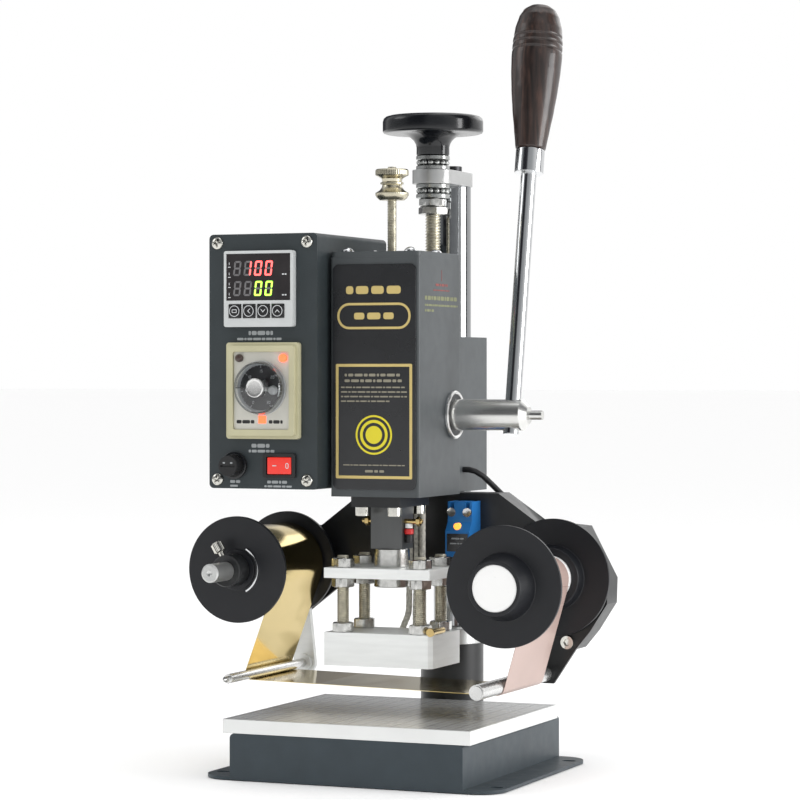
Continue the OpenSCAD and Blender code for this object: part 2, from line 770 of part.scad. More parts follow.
module tube(p, r, n = 10) {
    last = (len(p) - 1) * n;
    polyhedron([for (i = [0:len(p) - 1]) each ring(p[i], heading(p, i), r, n)],
        concat([[for (k = [0:n - 1]) k]], [[for (k = [n - 1:-1:0]) last + k]],
            [for (i = [0:len(p) - 2], k = [0:n - 1])
                [i * n + k, (i + 1) * n + k, (i + 1) * n + (k + 1) % n, i * n + (k + 1) % n]]));
}

module motor_cable() {
    color("#1d1e20") tube(cable_route, cable_r);
}

module foil_runs() {
    color("#e3c46a") slab(foil_y0, foil_w) {
        polygon(concat(supply_run(0), reversed(supply_run(foil_t))));
        polygon(concat(takeup_run(0), reversed(takeup_run(foil_t))));
    }
}

// The stretch of foil under the heating block, which the block takes down with it
module foil_span() {
    color("#e3c46a") slab(foil_y0, foil_w) polygon([span_point(-loop_x, 0),
        span_point(loop_x, 0), span_point(loop_x, foil_t), span_point(-loop_x, foil_t)]);
}

// ---------- ram ----------
rack_pitch = PI * tooth_m;
rack_z0 = shaft_z - 10;
rack_count = 11;
first_tooth_z = rack_z0 + rack_pitch / 2 + 0.1;

function rack_tooth(z) = let (add = tooth_m, ded = 1.25 * tooth_m,
    half = rack_pitch / 4 - backlash / 2, tip = half - add * tan(20), root = half + ded * tan(20))
    [[rack_y - ded, z - root], [rack_y + add, z - tip], [rack_y + add, z + tip],
     [rack_y - ded, z + root]];

module ram_bar() {
    top = rack_z0 + rack_count * rack_pitch;
    root_y = rack_y - 1.25 * tooth_m;
    color("#5d5f61") difference() {
        union() {
            brick([-ram_hw, ram_hw], [ram_y - ram_hd, ram_y + ram_hd], [ram_z0, ram_z1]);
            brick([-8, 8], [ram_y + ram_hd, root_y], [rack_z0, top]);
            slice(-8, 8) for (i = [0:rack_count - 1])
                polygon(rack_tooth(first_tooth_z + i * rack_pitch));
            rod_x(spring_y, spring_pin_z[0], -21, -ram_hw, 1.3);
        }
        rod_z(0, ram_y, ram_z1 - 20, ram_z1 + 1, stop_r);
        rod_z(0, ram_y, ram_z0 - 1, ram_z0 + 18, 6);
    }
}

module stop_rod() {
    color("#a8a48f") rod_z(0, ram_y, ram_z1 - 20, knob_z1 + 1.5, stop_r);
}

module upper_plate() {
    color("#e4e6e4") difference() {
        brick([-block_hw + 0.6, block_hw - 0.6], [ram_y - plate_d / 2, ram_y + plate_d / 2],
            [plate_z0, plate_z1]);
        rod_z(0, ram_y, plate_z0 - 1, plate_z1 + 1, 6);
        for (x = [-1, 1], y = [-1, 1])
            rod_z(x * stud_x, ram_y + y * stud_dy, plate_z0 - 1, plate_z1 + 1, stud_r);
    }
}

module studs() {
    color("#9a937c") {
        for (x = [-1, 1], y = [-1, 1])
            rod_z(x * stud_x, ram_y + y * stud_dy, block_z0 + 8, plate_z1 + nut_h + 1.6, stud_r);
        rod_z(0, ram_y, plate_z0 - 5, ram_z0 + 18, 6);
    }
}

// The hexagon nuts on the four studs and the nut, washer and round nut on the ram's end
module ram_nuts() {
    block_z1 = block_z0 + block_h;
    color("#c2c3c2") {
        for (x = [-1, 1], y = [-1, 1], z = [block_z1, plate_z0 - nut_h, plate_z1]) difference() {
            hex_z(x * stud_x, ram_y + y * stud_dy, z, z + nut_h, nut_af, 5 * x + 8 * y);
            rod_z(x * stud_x, ram_y + y * stud_dy, z - 1, z + nut_h + 1, stud_r);
        }
        for (p = [[plate_z1 + 3.4, ram_z0, 19, 6], [plate_z1, plate_z1 + 3.4, 0, 11.5],
                  [plate_z0 - 6.3, plate_z0, 0, 11.4]]) difference() {
            if (p[2] > 0) hex_z(0, ram_y, p[0], p[1], p[2], 8);
            else rod_z(0, ram_y, p[0], p[1], p[3]);
            rod_z(0, ram_y, p[0] - 1, p[1] + 1, 6);
        }
    }
}

module heating_block() {
    y0 = ram_y - block_d / 2;
    y1 = y0 + block_d;
    c = 2.5;
    color("#e4e6e4") difference() {
        translate([0, 0, block_z0]) linear_extrude(block_h) polygon([[-block_hw, y0],
            [block_hw - c, y0], [block_hw, y0 + c], [block_hw, y1], [-block_hw, y1]]);
        for (x = [-1, 1], y = [-1, 1])
            rod_z(x * stud_x, ram_y + y * stud_dy, block_z0 + 8, block_z0 + block_h + 1, stud_r);
        for (x = [-14, 14]) rod_y(x, block_z0 + 10, y0 + 6, y1 + 1, 5);
        rod_y(2, block_z0 + 10, ram_y, y1 + 1, 1.6);
    }
}

// Two cartridge heaters and a temperature probe in the block, and a probe clamp on top of it
module heater_elements() {
    y0 = ram_y - block_d / 2;
    y1 = y0 + block_d;
    probe_z = block_z0 + block_h + 2.1;
    color("#b9bcbe") for (x = [-14, 14]) rod_y(x, block_z0 + 10, y0 + 6, y1 + 2, 5);
    color("#b9bcbe") rod_y(2, block_z0 + 10, ram_y, y1 + 2, 1.6);
    color("#a98b4a") {
        rod_y(36.4, probe_z, y0 + 0.6, -15, 2);
        rod_y(36.4, probe_z, y0 - 1.6, y0 + 0.6, 2.7);
    }
}

// Sleeved leads of the heaters and the probe, from the back of the block up to the head
lead_top = [[0, 21, 112], [0, 22, 122], [0, 22, 134], [0, 22, 146], [0, 22, 158], [0, 22, 175.5]];
function lead_route(x0, x1) = let (y1 = ram_y + block_d / 2 + 2, z = block_z0 + 10) concat(
    [[x0, y1, z], [x0, y1 + 2, z], [(x0 * 3 + x1) / 4, y1 + 4.4, z + 1.6],
     [(x0 + x1) / 2, y1 + 5.6, z + 6], [(x0 + x1 * 3) / 4, y1 + 5.6, z + 13],
     [x1, y1 + 5, z + 21]],
    [for (p = lead_top) p + [x1, 0, 0]]);
lead_ends = [[-14, -1.4, 2], [2, 3, 1.5], [14, 7.4, 2]];

module heater_leads() {
    color("#cfcdbf") for (e = lead_ends) tube(lead_route(e[0], e[1]), e[2], 8);
}

module stop_knob() {
    waist = knob_z0 + 7;
    color("#b9b08c") translate([0, ram_y, 0]) rotate_extrude() {
        translate([stop_r + fit, knob_z0]) square([10.6 - stop_r - fit, 5.4]);
        translate([stop_r + fit, knob_z0 + 5]) square([6.4 - stop_r - fit, 10]);
        translate([stop_r + fit, knob_z1 - 5]) square([10.6 - stop_r - fit, 5]);
        translate([stop_r + fit, waist]) square([8.4 - stop_r - fit, 5]);
    }
}

// ---------- lever ----------
// Involute flank of the pinion: a point at radius r lies at this angle from the flank's foot
base_circle = pitch_r * cos(20);
function inv_angle(r) =
    let (t = sqrt(max(pow(r / base_circle, 2) - 1, 0))) t * 180 / PI - atan(t);
tooth_half = 90 / teeth - backlash / 2 / pitch_r * 180 / PI + inv_angle(pitch_r);
flank_steps = 5;
tip_r = pitch_r + tooth_m;
root_r = pitch_r - 1.25 * tooth_m;
flank_r = [for (i = [0:flank_steps]) let (r0 = max(base_circle, root_r))
    r0 + (tip_r - 0.1 - r0) * i / flank_steps];

function tooth_points(a) = concat(
    [root_r * unit(a - tooth_half - 0.6)],
    [for (r = flank_r) r * unit(a - tooth_half + inv_angle(r))],
    [for (i = [flank_steps:-1:0]) flank_r[i] * unit(a + tooth_half - inv_angle(flank_r[i]))],
    [root_r * unit(a + tooth_half + 0.6)]);

// A gap of the pinion faces the rack tooth that stands at this offset above the shaft
rack_offset = first_tooth_z - shaft_z
    + round((shaft_z - first_tooth_z) / rack_pitch) * rack_pitch;
pinion_turn = 180 + 180 / teeth - rack_offset / pitch_r * 180 / PI;

module pinion_shaft() {
    color("#c9cccf") difference() {
        union() {
            rod_x(shaft_y, shaft_z, -head_hw + 0.4, shaft_x1, shaft_r);
            translate([shaft_x1, shaft_y, shaft_z]) rotate([0, 90, 0])
                cylinder(r1 = shaft_r, r2 = 5.5, h = 4);
            rod_x(shaft_y, shaft_z, shaft_x1 + 4, shaft_x1 + 13, 3);
            slice(-pinion_hw, pinion_hw) translate([shaft_y, shaft_z])
                polygon([for (i = [1:teeth]) each tooth_points(pinion_turn + i * 360 / teeth)]);
        }
        on_lever() translate([0, 0, -shaft_r - 1]) cylinder(r = lever_r, h = 2 * shaft_r + 2);
    }
}

// Places what is drawn along +Z in line with the lever, from the shaft's axis
module on_lever() {
    translate([lever_x, shaft_y, shaft_z]) rotate([-lever_tilt, 0, 0]) children();
}

module lever_rod() {
    color("#d5d8da") on_lever() {
        translate([0, 0, -shaft_r - 2.6]) cylinder(r = lever_r, h = rod_end + shaft_r + 2.6);
        translate([0, 0, grip_z0 - 15.5]) cylinder(r = 9.3, h = 15.5);
    }
}

module lever_grip() {
    color("#2c211d") on_lever() difference() {
        translate([0, 0, grip_z0]) rotate_extrude() polygon([
            [0, 0], [9.6, 0], [10.2, 4], [11.6, 14], [13.4, 26], [15, 40], [16, 52], [16.4, 62],
            [16.2, 72], [15.2, 81], [13.2, 88.5], [10.6, 93.2], [7, 95.9], [3.5, 96.9], [0, 97.2]]);
        translate([0, 0, grip_z0 - 1]) cylinder(r = lever_r, h = rod_end - grip_z0 + 1.2);
    }
}

// ---------- supply roll ----------
module supply_discs() {
    x = supply_c[0];
    z = supply_c[1];
    color("#2b2d30") for (y = [-45.5, 30.5]) difference() {
        union() {
            rod_y(x, z, y, y + 3, supply_r);
            rod_y(x, z, y - 1.2, y, 13);
        }
        rod_y(x, z, y - 2, y + 4, spindle_r);
    }
}

module supply_spindle() {
    x = supply_c[0];
    z = supply_c[1];
    color("#9da3a6") difference() {
        rod_y(x, z, -84, feeder_y + 22, spindle_r);
        rod_y(x, z, -85, -83.4, 2);
    }
    color("#232427") difference() {
        rod_y(x, z, -61.5, -47.2, 10.2);
        rod_y(x, z, -63, -44, spindle_r);
    }
    color("#c8cacb") translate([x, -54.5, z]) rotate([0, -30, 0]) {
        translate([0, 0, 10]) cylinder(r = 2, h = 3.4);
        translate([0, 0, 13.2]) cylinder(r = 4, h = 7);
    }
    color("#c8cacb") difference() {
        rod_y(x, z, feeder_y + 12, feeder_y + 20, 10);
        rod_y(x, z, feeder_y + 11, feeder_y + 21, spindle_r);
    }
}

module supply_foil() {
    x = supply_c[0];
    z = supply_c[1];
    color("#e3c46a") difference() {
        rod_y(x, z, foil_y0, foil_y0 + foil_w, wound_r);
        rod_y(x, z, foil_y0 - 1, foil_y0 + foil_w + 1, spindle_r);
    }
}

// ---------- take-up roll ----------
module takeup_discs() {
    x = takeup_c[0];
    z = takeup_c[1];
    color("#1f2022") for (d = [[-50.3, 16], [39.6, 7]]) difference() {
        union() {
            rod_y(x, z, d[0], d[0] + 2.6, takeup_r);
            rod_y(x, z, d[0] - d[1], d[0], 21, 21 - d[1] / 4);
        }
        rod_y(x, z, d[0] - d[1] - 1, d[0] + 4, core_r);
    }
}

// White core with the wound foil's back on it, on a plain drive spindle
module takeup_core() {
    x = takeup_c[0];
    z = takeup_c[1];
    y0 = -65.6;
    color("#f4f3f0") difference() {
        rod_y(x, z, y0, 41, core_r);
        rod_y(x, z, y0 + 3, 42, drive_r);
    }
    color("#9da3a6") rod_y(x, z, y0 + 3, feeder_y + feeder_t - gap, drive_r);
}

// ---------- small moving controls ----------
module key(i) {
    front = panel_y - bezel_t;
    color("#1b1c1e") brick([key_x[i] - key_s / 2, key_x[i] + key_s / 2],
        [front - 1, front + 2.6], [key_z - key_s / 2, key_z + key_s / 2]);
}

module timer_knob() {
    front = panel_y - 6.5;
    color([0.85, 0.88, 0.9, 0.5]) difference() {
        rod_y(timer_x, dial_z, front - 6.5, front + 0.7, 17, 16);
        rod_y(timer_x, dial_z, front - 4.8, front + 1, 15.4);
        rod_y(timer_x, dial_z, front - 7, front + 1, 6.2);
    }
    color("#c9cccf") {
        rod_y(timer_x, dial_z, front - 9.5, front + 0.7, 6.2);
        rod_y(timer_x, dial_z, front + 0.7, front + 3, 2.5);
    }
}

module fuse_cap() {
    color("#18191b") difference() {
        union() {
            rod_y(fuse_x, fuse_z, panel_y - 11.6, panel_y - 2.7, 6.4);
            rod_y(fuse_x, fuse_z, panel_y - 2.7, panel_y + 16, 4.5);
        }
        brick([fuse_x - 5, fuse_x + 5], [panel_y - 12, panel_y - 10.6],
            [fuse_z - 0.6, fuse_z + 0.6]);
    }
}

// The rocker turns about a vertical pin and rests with its right end pressed in
rocker_tilt = 7;
rocker_pin_y = panel_y + 3.5;
module rocker() {
    color("#c2392f") translate([rocker_x, rocker_pin_y, rocker_z]) rotate([0, 0, rocker_tilt])
        translate([0, 0, -5.3]) linear_extrude(10.6) polygon([[-7.9, -7.2], [0, -5.6],
            [7.9, -7.2], [7.2, -2], [3, 3], [-3, 3], [-7.2, -2]]);
}

base_frame();
base_plate();
work_table();
stand_screws();
column_socket();
column_collar();
column();
top_bracket();
screw_bearings();
handwheel();
lift_screw();
head_casing();
head_cover();
head_screws();
label_plate();
rear_block();
bushes();
lift_nut();
guide_flange();
ram_guide();
return_spring();
control_box();
control_panel();
panel_screws();
temp_controller();
timer();
panel_fittings();
relay();
cable_gland();
feeder_plate();
photo_sensor();
guide_rods();
gear_motor();
motor_cable();
foil_runs();
foil_span();
ram_bar();
stop_rod();
upper_plate();
studs();
ram_nuts();
heating_block();
heater_elements();
heater_leads();
stop_knob();
pinion_shaft();
lever_rod();
lever_grip();
supply_discs();
supply_spindle();
supply_foil();
takeup_discs();
takeup_core();
key(0);  // key_mode
key(1);  // key_shift
key(2);  // key_down
key(3);  // key_up
timer_knob();
fuse_cap();
rocker();
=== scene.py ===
import json
import math

import bmesh
import bpy
from mathutils import Matrix, Vector


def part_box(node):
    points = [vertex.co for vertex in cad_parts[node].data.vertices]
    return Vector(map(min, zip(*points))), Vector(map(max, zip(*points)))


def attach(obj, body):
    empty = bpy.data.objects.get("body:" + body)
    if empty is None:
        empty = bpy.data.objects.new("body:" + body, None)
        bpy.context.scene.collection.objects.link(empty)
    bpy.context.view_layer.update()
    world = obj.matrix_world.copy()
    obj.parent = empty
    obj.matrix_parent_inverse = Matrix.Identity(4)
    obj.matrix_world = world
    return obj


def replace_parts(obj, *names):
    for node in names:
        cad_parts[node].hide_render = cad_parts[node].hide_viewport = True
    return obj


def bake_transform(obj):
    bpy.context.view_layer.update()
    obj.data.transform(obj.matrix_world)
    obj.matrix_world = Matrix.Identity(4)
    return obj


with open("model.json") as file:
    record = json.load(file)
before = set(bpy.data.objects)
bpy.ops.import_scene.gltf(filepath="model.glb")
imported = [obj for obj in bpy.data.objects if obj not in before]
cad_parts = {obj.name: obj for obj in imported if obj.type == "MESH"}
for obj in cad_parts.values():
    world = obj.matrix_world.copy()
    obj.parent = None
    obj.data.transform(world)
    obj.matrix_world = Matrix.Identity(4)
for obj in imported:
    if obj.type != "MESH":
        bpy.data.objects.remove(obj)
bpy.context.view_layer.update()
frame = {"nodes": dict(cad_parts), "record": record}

MM = 0.001
BODY = {n: b for b, names in frame["record"]["behaviour"]["bodies"].items() for n in names}
SLOT = {s["node"]: s["material_slot"] for s in frame["record"]["subparts"]}


def box(node):
    """Lowest and highest corner of a CAD node, in millimetres."""
    low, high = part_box(node)
    return low / MM, high / MM


def middle(node):
    low, high = box(node)
    return (low + high) / 2


# ---------- camera, floor and light ----------
CAMERA_AT = Vector((0.7238, -1.7163, 0.2530))
CAMERA_AZIMUTH = math.radians(22.84)
CAMERA_PITCH = math.radians(0.52)
CAMERA_LENS = 131.2
FLOOR_REACH = 40.0


def make_camera():
    camera = bpy.data.objects.new("camera", bpy.data.cameras.new("camera"))
    camera.data.lens = CAMERA_LENS
    camera.data.sensor_width = 36.0
    camera.data.clip_end = 50.0
    ahead = Vector((-math.sin(CAMERA_AZIMUTH) * math.cos(CAMERA_PITCH),
                    math.cos(CAMERA_AZIMUTH) * math.cos(CAMERA_PITCH),
                    -math.sin(CAMERA_PITCH)))
    camera.location = CAMERA_AT
    camera.rotation_mode = "QUATERNION"
    camera.rotation_quaternion = ahead.to_track_quat("-Z", "Y")
    bpy.context.scene.collection.objects.link(camera)
    bpy.context.scene.camera = camera


def soft_box(name, at, aim, size, power):
    light = bpy.data.lights.new(name, "AREA")
    light.shape = "RECTANGLE"
    light.size, light.size_y = size
    light.energy = power
    lamp = bpy.data.objects.new(name, light)
    lamp.location = at
    lamp.rotation_mode = "QUATERNION"
    lamp.rotation_quaternion = (Vector(aim) - Vector(at)).to_track_quat("-Z", "Y")
    bpy.context.scene.collection.objects.link(lamp)


def make_floor():
    mesh = bpy.data.meshes.new("floor")
    corners = [(-1, -1), (1, -1), (1, 1), (-1, 1)]
    mesh.from_pydata([(x * FLOOR_REACH, y * FLOOR_REACH, 0) for x, y in corners], [], [(0, 1, 2, 3)])
    floor = bpy.data.objects.new("floor", mesh)
    floor.location.z = -0.0005
    mesh.materials.append(plain_material("floor", {"Base Color": (0.99, 0.99, 0.99, 1),
                                                   "Roughness": 0.9, "Specular IOR Level": 0.1}))
    bpy.context.scene.collection.objects.link(floor)


def reflected(tree):
    """The studio as polished surfaces see it: brighter above and behind the machine."""
    direction = tree.nodes.new("ShaderNodeTexCoord").outputs["Generated"]
    split = tree.nodes.new("ShaderNodeSeparateXYZ")
    tree.links.new(direction, split.inputs[0])
    height = ramp(tree, to_unit(tree, split.outputs["Z"]),
                  [(0.0, grey(0.55)), (0.47, grey(0.62)), (0.53, grey(0.80)), (0.70, grey(1.0)),
                   (1.0, grey(1.0))])
    # Wide dark bands at the sides give the polished rods their dark stripes
    azimuth = sums(tree, "ARCTAN2", split.outputs["Y"], split.outputs["X"])
    wave = sums(tree, "SINE", sums(tree, "MULTIPLY_ADD", azimuth, 3.0, 0.9))
    bands = ramp(tree, to_unit(tree, wave),
                 [(0.0, grey(1.0)), (0.62, grey(0.92)), (0.80, (0.16, 0.16, 0.17, 1)),
                  (1.0, (0.06, 0.06, 0.07, 1))])
    from_back = tree.nodes.new("ShaderNodeVectorMath")
    from_back.operation = "DOT_PRODUCT"
    from_back.inputs[1].default_value = (0.39, 0.92, 0.0)
    tree.links.new(direction, from_back.inputs[0])
    depth = ramp(tree, to_unit(tree, from_back.outputs["Value"]),
                 [(0.0, (0.30, 0.31, 0.32, 1)), (0.30, (0.42, 0.43, 0.44, 1)),
                  (0.55, grey(0.90)), (1.0, grey(1.15))])
    return mixed(tree, 1.0, mixed(tree, 1.0, height, bands, "MULTIPLY"), depth, "MULTIPLY")


def make_studio():
    make_floor()
    soft_box("key", (-2.0, -0.8, 1.5), (0, 0, 0.25), (1.1, 1.1), 6)
    soft_box("fill", (2.1, 0.3, 0.5), (0, 0, 0.25), (1.2, 0.9), 23)
    soft_box("top", (0.1, 0.2, 1.9), (0, 0, 0.2), (1.2, 1.2), 4)
    soft_box("back", (0.6, 1.9, 1.1), (0, 0, 0.3), (1.4, 0.8), 4)
    world = bpy.data.worlds.new("studio")
    world.use_nodes = True
    bpy.context.scene.world = world
    tree = world.node_tree
    glossy = tree.nodes.new("ShaderNodeLightPath").outputs["Is Glossy Ray"]
    tree.links.new(mixed(tree, glossy, grey(1.0), reflected(tree)),
                   tree.nodes["Background"].inputs["Color"])
    tree.nodes["Background"].inputs["Strength"].default_value = 1.0
    bpy.context.scene.view_settings.view_transform = "Standard"


# ---------- shader nodes ----------
def wire(tree, value, socket):
    """Links another node's output to a socket, or sets it to a number or a colour."""
    if isinstance(value, bpy.types.NodeSocket):
        tree.links.new(value, socket)
    else:
        socket.default_value = value


def sums(tree, operation, *values):
    node = tree.nodes.new("ShaderNodeMath")
    node.operation = operation
    for value, socket in zip(values, node.inputs):
        wire(tree, value, socket)
    return node.outputs[0]


def to_unit(tree, value):
    """Takes a value from -1 to 1 onto 0 to 1."""
    return sums(tree, "MULTIPLY_ADD", value, 0.5, 0.5)


def mixed(tree, factor, first, second, blend="MIX"):
    node = tree.nodes.new("ShaderNodeMix")
    node.data_type = "RGBA"
    node.blend_type = blend
    for name, value in (("Factor", factor), ("A", first), ("B", second)):
        wire(tree, value, node.inputs[name])
    return node.outputs["Result"]


def ramp(tree, value, stops):
    """A colour ramp through (place, colour) pairs."""
    node = tree.nodes.new("ShaderNodeValToRGB")
    elements = node.color_ramp.elements
    while len(elements) > 1:
        elements.remove(elements[-1])
    elements[0].position, elements[0].color = stops[0]
    for place, colour in stops[1:]:
        elements.new(place).color = colour
    tree.links.new(value, node.inputs[0])
    return node.outputs[0]


def noise(tree, scale, detail=3.0, stretch=(1, 1, 1), distortion=0.0):
    """Noise over the object's coordinates in metres, scaled by stretch."""
    coords = tree.nodes.new("ShaderNodeTexCoord")
    mapping = tree.nodes.new("ShaderNodeMapping")
    mapping.inputs["Scale"].default_value = stretch
    tree.links.new(coords.outputs["Object"], mapping.inputs["Vector"])
    texture = tree.nodes.new("ShaderNodeTexNoise")
    for name, value in (("Scale", scale), ("Detail", detail), ("Distortion", distortion)):
        texture.inputs[name].default_value = value
    tree.links.new(mapping.outputs["Vector"], texture.inputs["Vector"])
    return texture.outputs["Fac"]


def bump(tree, height, strength, distance=0.0002):
    node = tree.nodes.new("ShaderNodeBump")
    node.inputs["Strength"].default_value = strength
    node.inputs["Distance"].default_value = distance
    tree.links.new(height, node.inputs["Height"])
    tree.links.new(node.outputs[0], shader_of(tree)["Normal"])


def grey(value):
    return (value, value, value, 1)


def shade(colour, factor):
    return tuple(min(1.0, c * factor) for c in colour[:3]) + (1.0,)


# ---------- materials ----------
def shader_of(tree):
    return tree.nodes["Principled BSDF"].inputs


def plain_material(name, values):
    made = bpy.data.materials.new(name)
    made.use_nodes = True
    for socket, value in values.items():
        shader_of(made.node_tree)[socket].default_value = value
    return made


def look(name, colour, rough=0.4, metal=0.0, vary=0.12, vary_scale=60, rough_vary=0.08,
         grain=0.0, grain_scale=900, stretch=(1, 1, 1), coat=0.0, sheen=0.0,
         specular=0.5, glow=None):
    """A painted, moulded or metal surface: uneven colour and gloss, and a fine grain."""
    values = {"Metallic": metal, "Specular IOR Level": specular, "Coat Weight": coat,
              "Coat Roughness": 0.06, "Sheen Weight": sheen}
    if glow:
        values.update({"Emission Color": glow[:3] + (1.0,), "Emission Strength": glow[3]})
    made = plain_material(name, values)
    tree = made.node_tree
    tones = [(0.3, shade(colour, 1 - vary)), (0.7, shade(colour, 1 + vary))]
    wire(tree, ramp(tree, noise(tree, vary_scale, 4.0, stretch), tones), shader_of(tree)["Base Color"])
    gloss = tree.nodes.new("ShaderNodeMapRange")
    gloss.inputs["To Min"].default_value = max(0.02, rough - rough_vary)
    gloss.inputs["To Max"].default_value = min(1.0, rough + rough_vary)
    wire(tree, noise(tree, vary_scale * 2.3, 5.0, stretch), gloss.inputs["Value"])
    wire(tree, gloss.outputs[0], shader_of(tree)["Roughness"])
    if grain:
        bump(tree, noise(tree, grain_scale, 2.0, stretch), grain)
    return made


def wood_look():
    """Dark stained and lacquered wood, with grain along the lever."""
    made = look("grip_wood", (0.030, 0.017, 0.014), 0.34, coat=0.25, vary=0.0)
    tree = made.node_tree
    fibre = noise(tree, 260, 6.0, (1.0, 1.0, 0.07), 1.2)
    tones = [(0.32, (0.012, 0.008, 0.007, 1)), (0.52, (0.028, 0.016, 0.013, 1)),
             (0.68, (0.060, 0.031, 0.023, 1))]
    wire(tree, ramp(tree, fibre, tones), shader_of(tree)["Base Color"])
    bump(tree, fibre, 0.18)
    return made


def foil_look(name, light, deep):
    """Metallised film: a mirror with shallow waves and a slow change of tone."""
    made = look(name, light, 0.13, metal=1.0, vary=0.0, rough_vary=0.03)
    tree = made.node_tree
    tones = [(0.30, deep), (0.50, light), (0.75, shade(light, 1.08))]
    wire(tree, ramp(tree, noise(tree, 26, 2.0, (1.0, 0.5, 1.0), 0.6), tones),
         shader_of(tree)["Base Color"])
    bump(tree, noise(tree, 34, 1.0, (1.0, 0.35, 1.0)), 0.35, 0.0012)
    return made


def grid_lines(tree, along, pitch, width):
    """1 on thin lines across X and across Y, and 0 between them."""
    crossed = [sums(tree, "LESS_THAN", sums(tree, "PINGPONG", socket, pitch / 2), width / 2)
               for socket in along]
    return sums(tree, "MAXIMUM", *crossed)


def table_look():
    """Near-white satin aluminium with a fine printed measuring grid on the top face."""
    made = look("table_aluminium", (0.80, 0.81, 0.80), 0.24, metal=0.55, vary=0.03,
                vary_scale=30, rough_vary=0.05, grain=0.06, grain_scale=700)
    tree = made.node_tree
    place, facing = [tree.nodes.new("ShaderNodeSeparateXYZ") for _ in range(2)]
    tree.links.new(tree.nodes.new("ShaderNodeTexCoord").outputs["Object"], place.inputs[0])
    tree.links.new(tree.nodes.new("ShaderNodeNewGeometry").outputs["Normal"], facing.inputs[0])
    along = (place.outputs["X"], place.outputs["Y"])
    fine = sums(tree, "MULTIPLY", grid_lines(tree, along, 0.005, 0.0003), 0.45)
    bold = sums(tree, "MULTIPLY", grid_lines(tree, along, 0.010, 0.0006), 0.85)
    top = sums(tree, "GREATER_THAN", facing.outputs["Z"], 0.9)
    mask = sums(tree, "MULTIPLY", sums(tree, "MAXIMUM", fine, bold), top)
    base = shader_of(tree)["Base Color"]
    wire(tree, mixed(tree, mask, base.links[0].from_socket, (0.22, 0.225, 0.23, 1)), base)
    return made


make_camera()
make_studio()

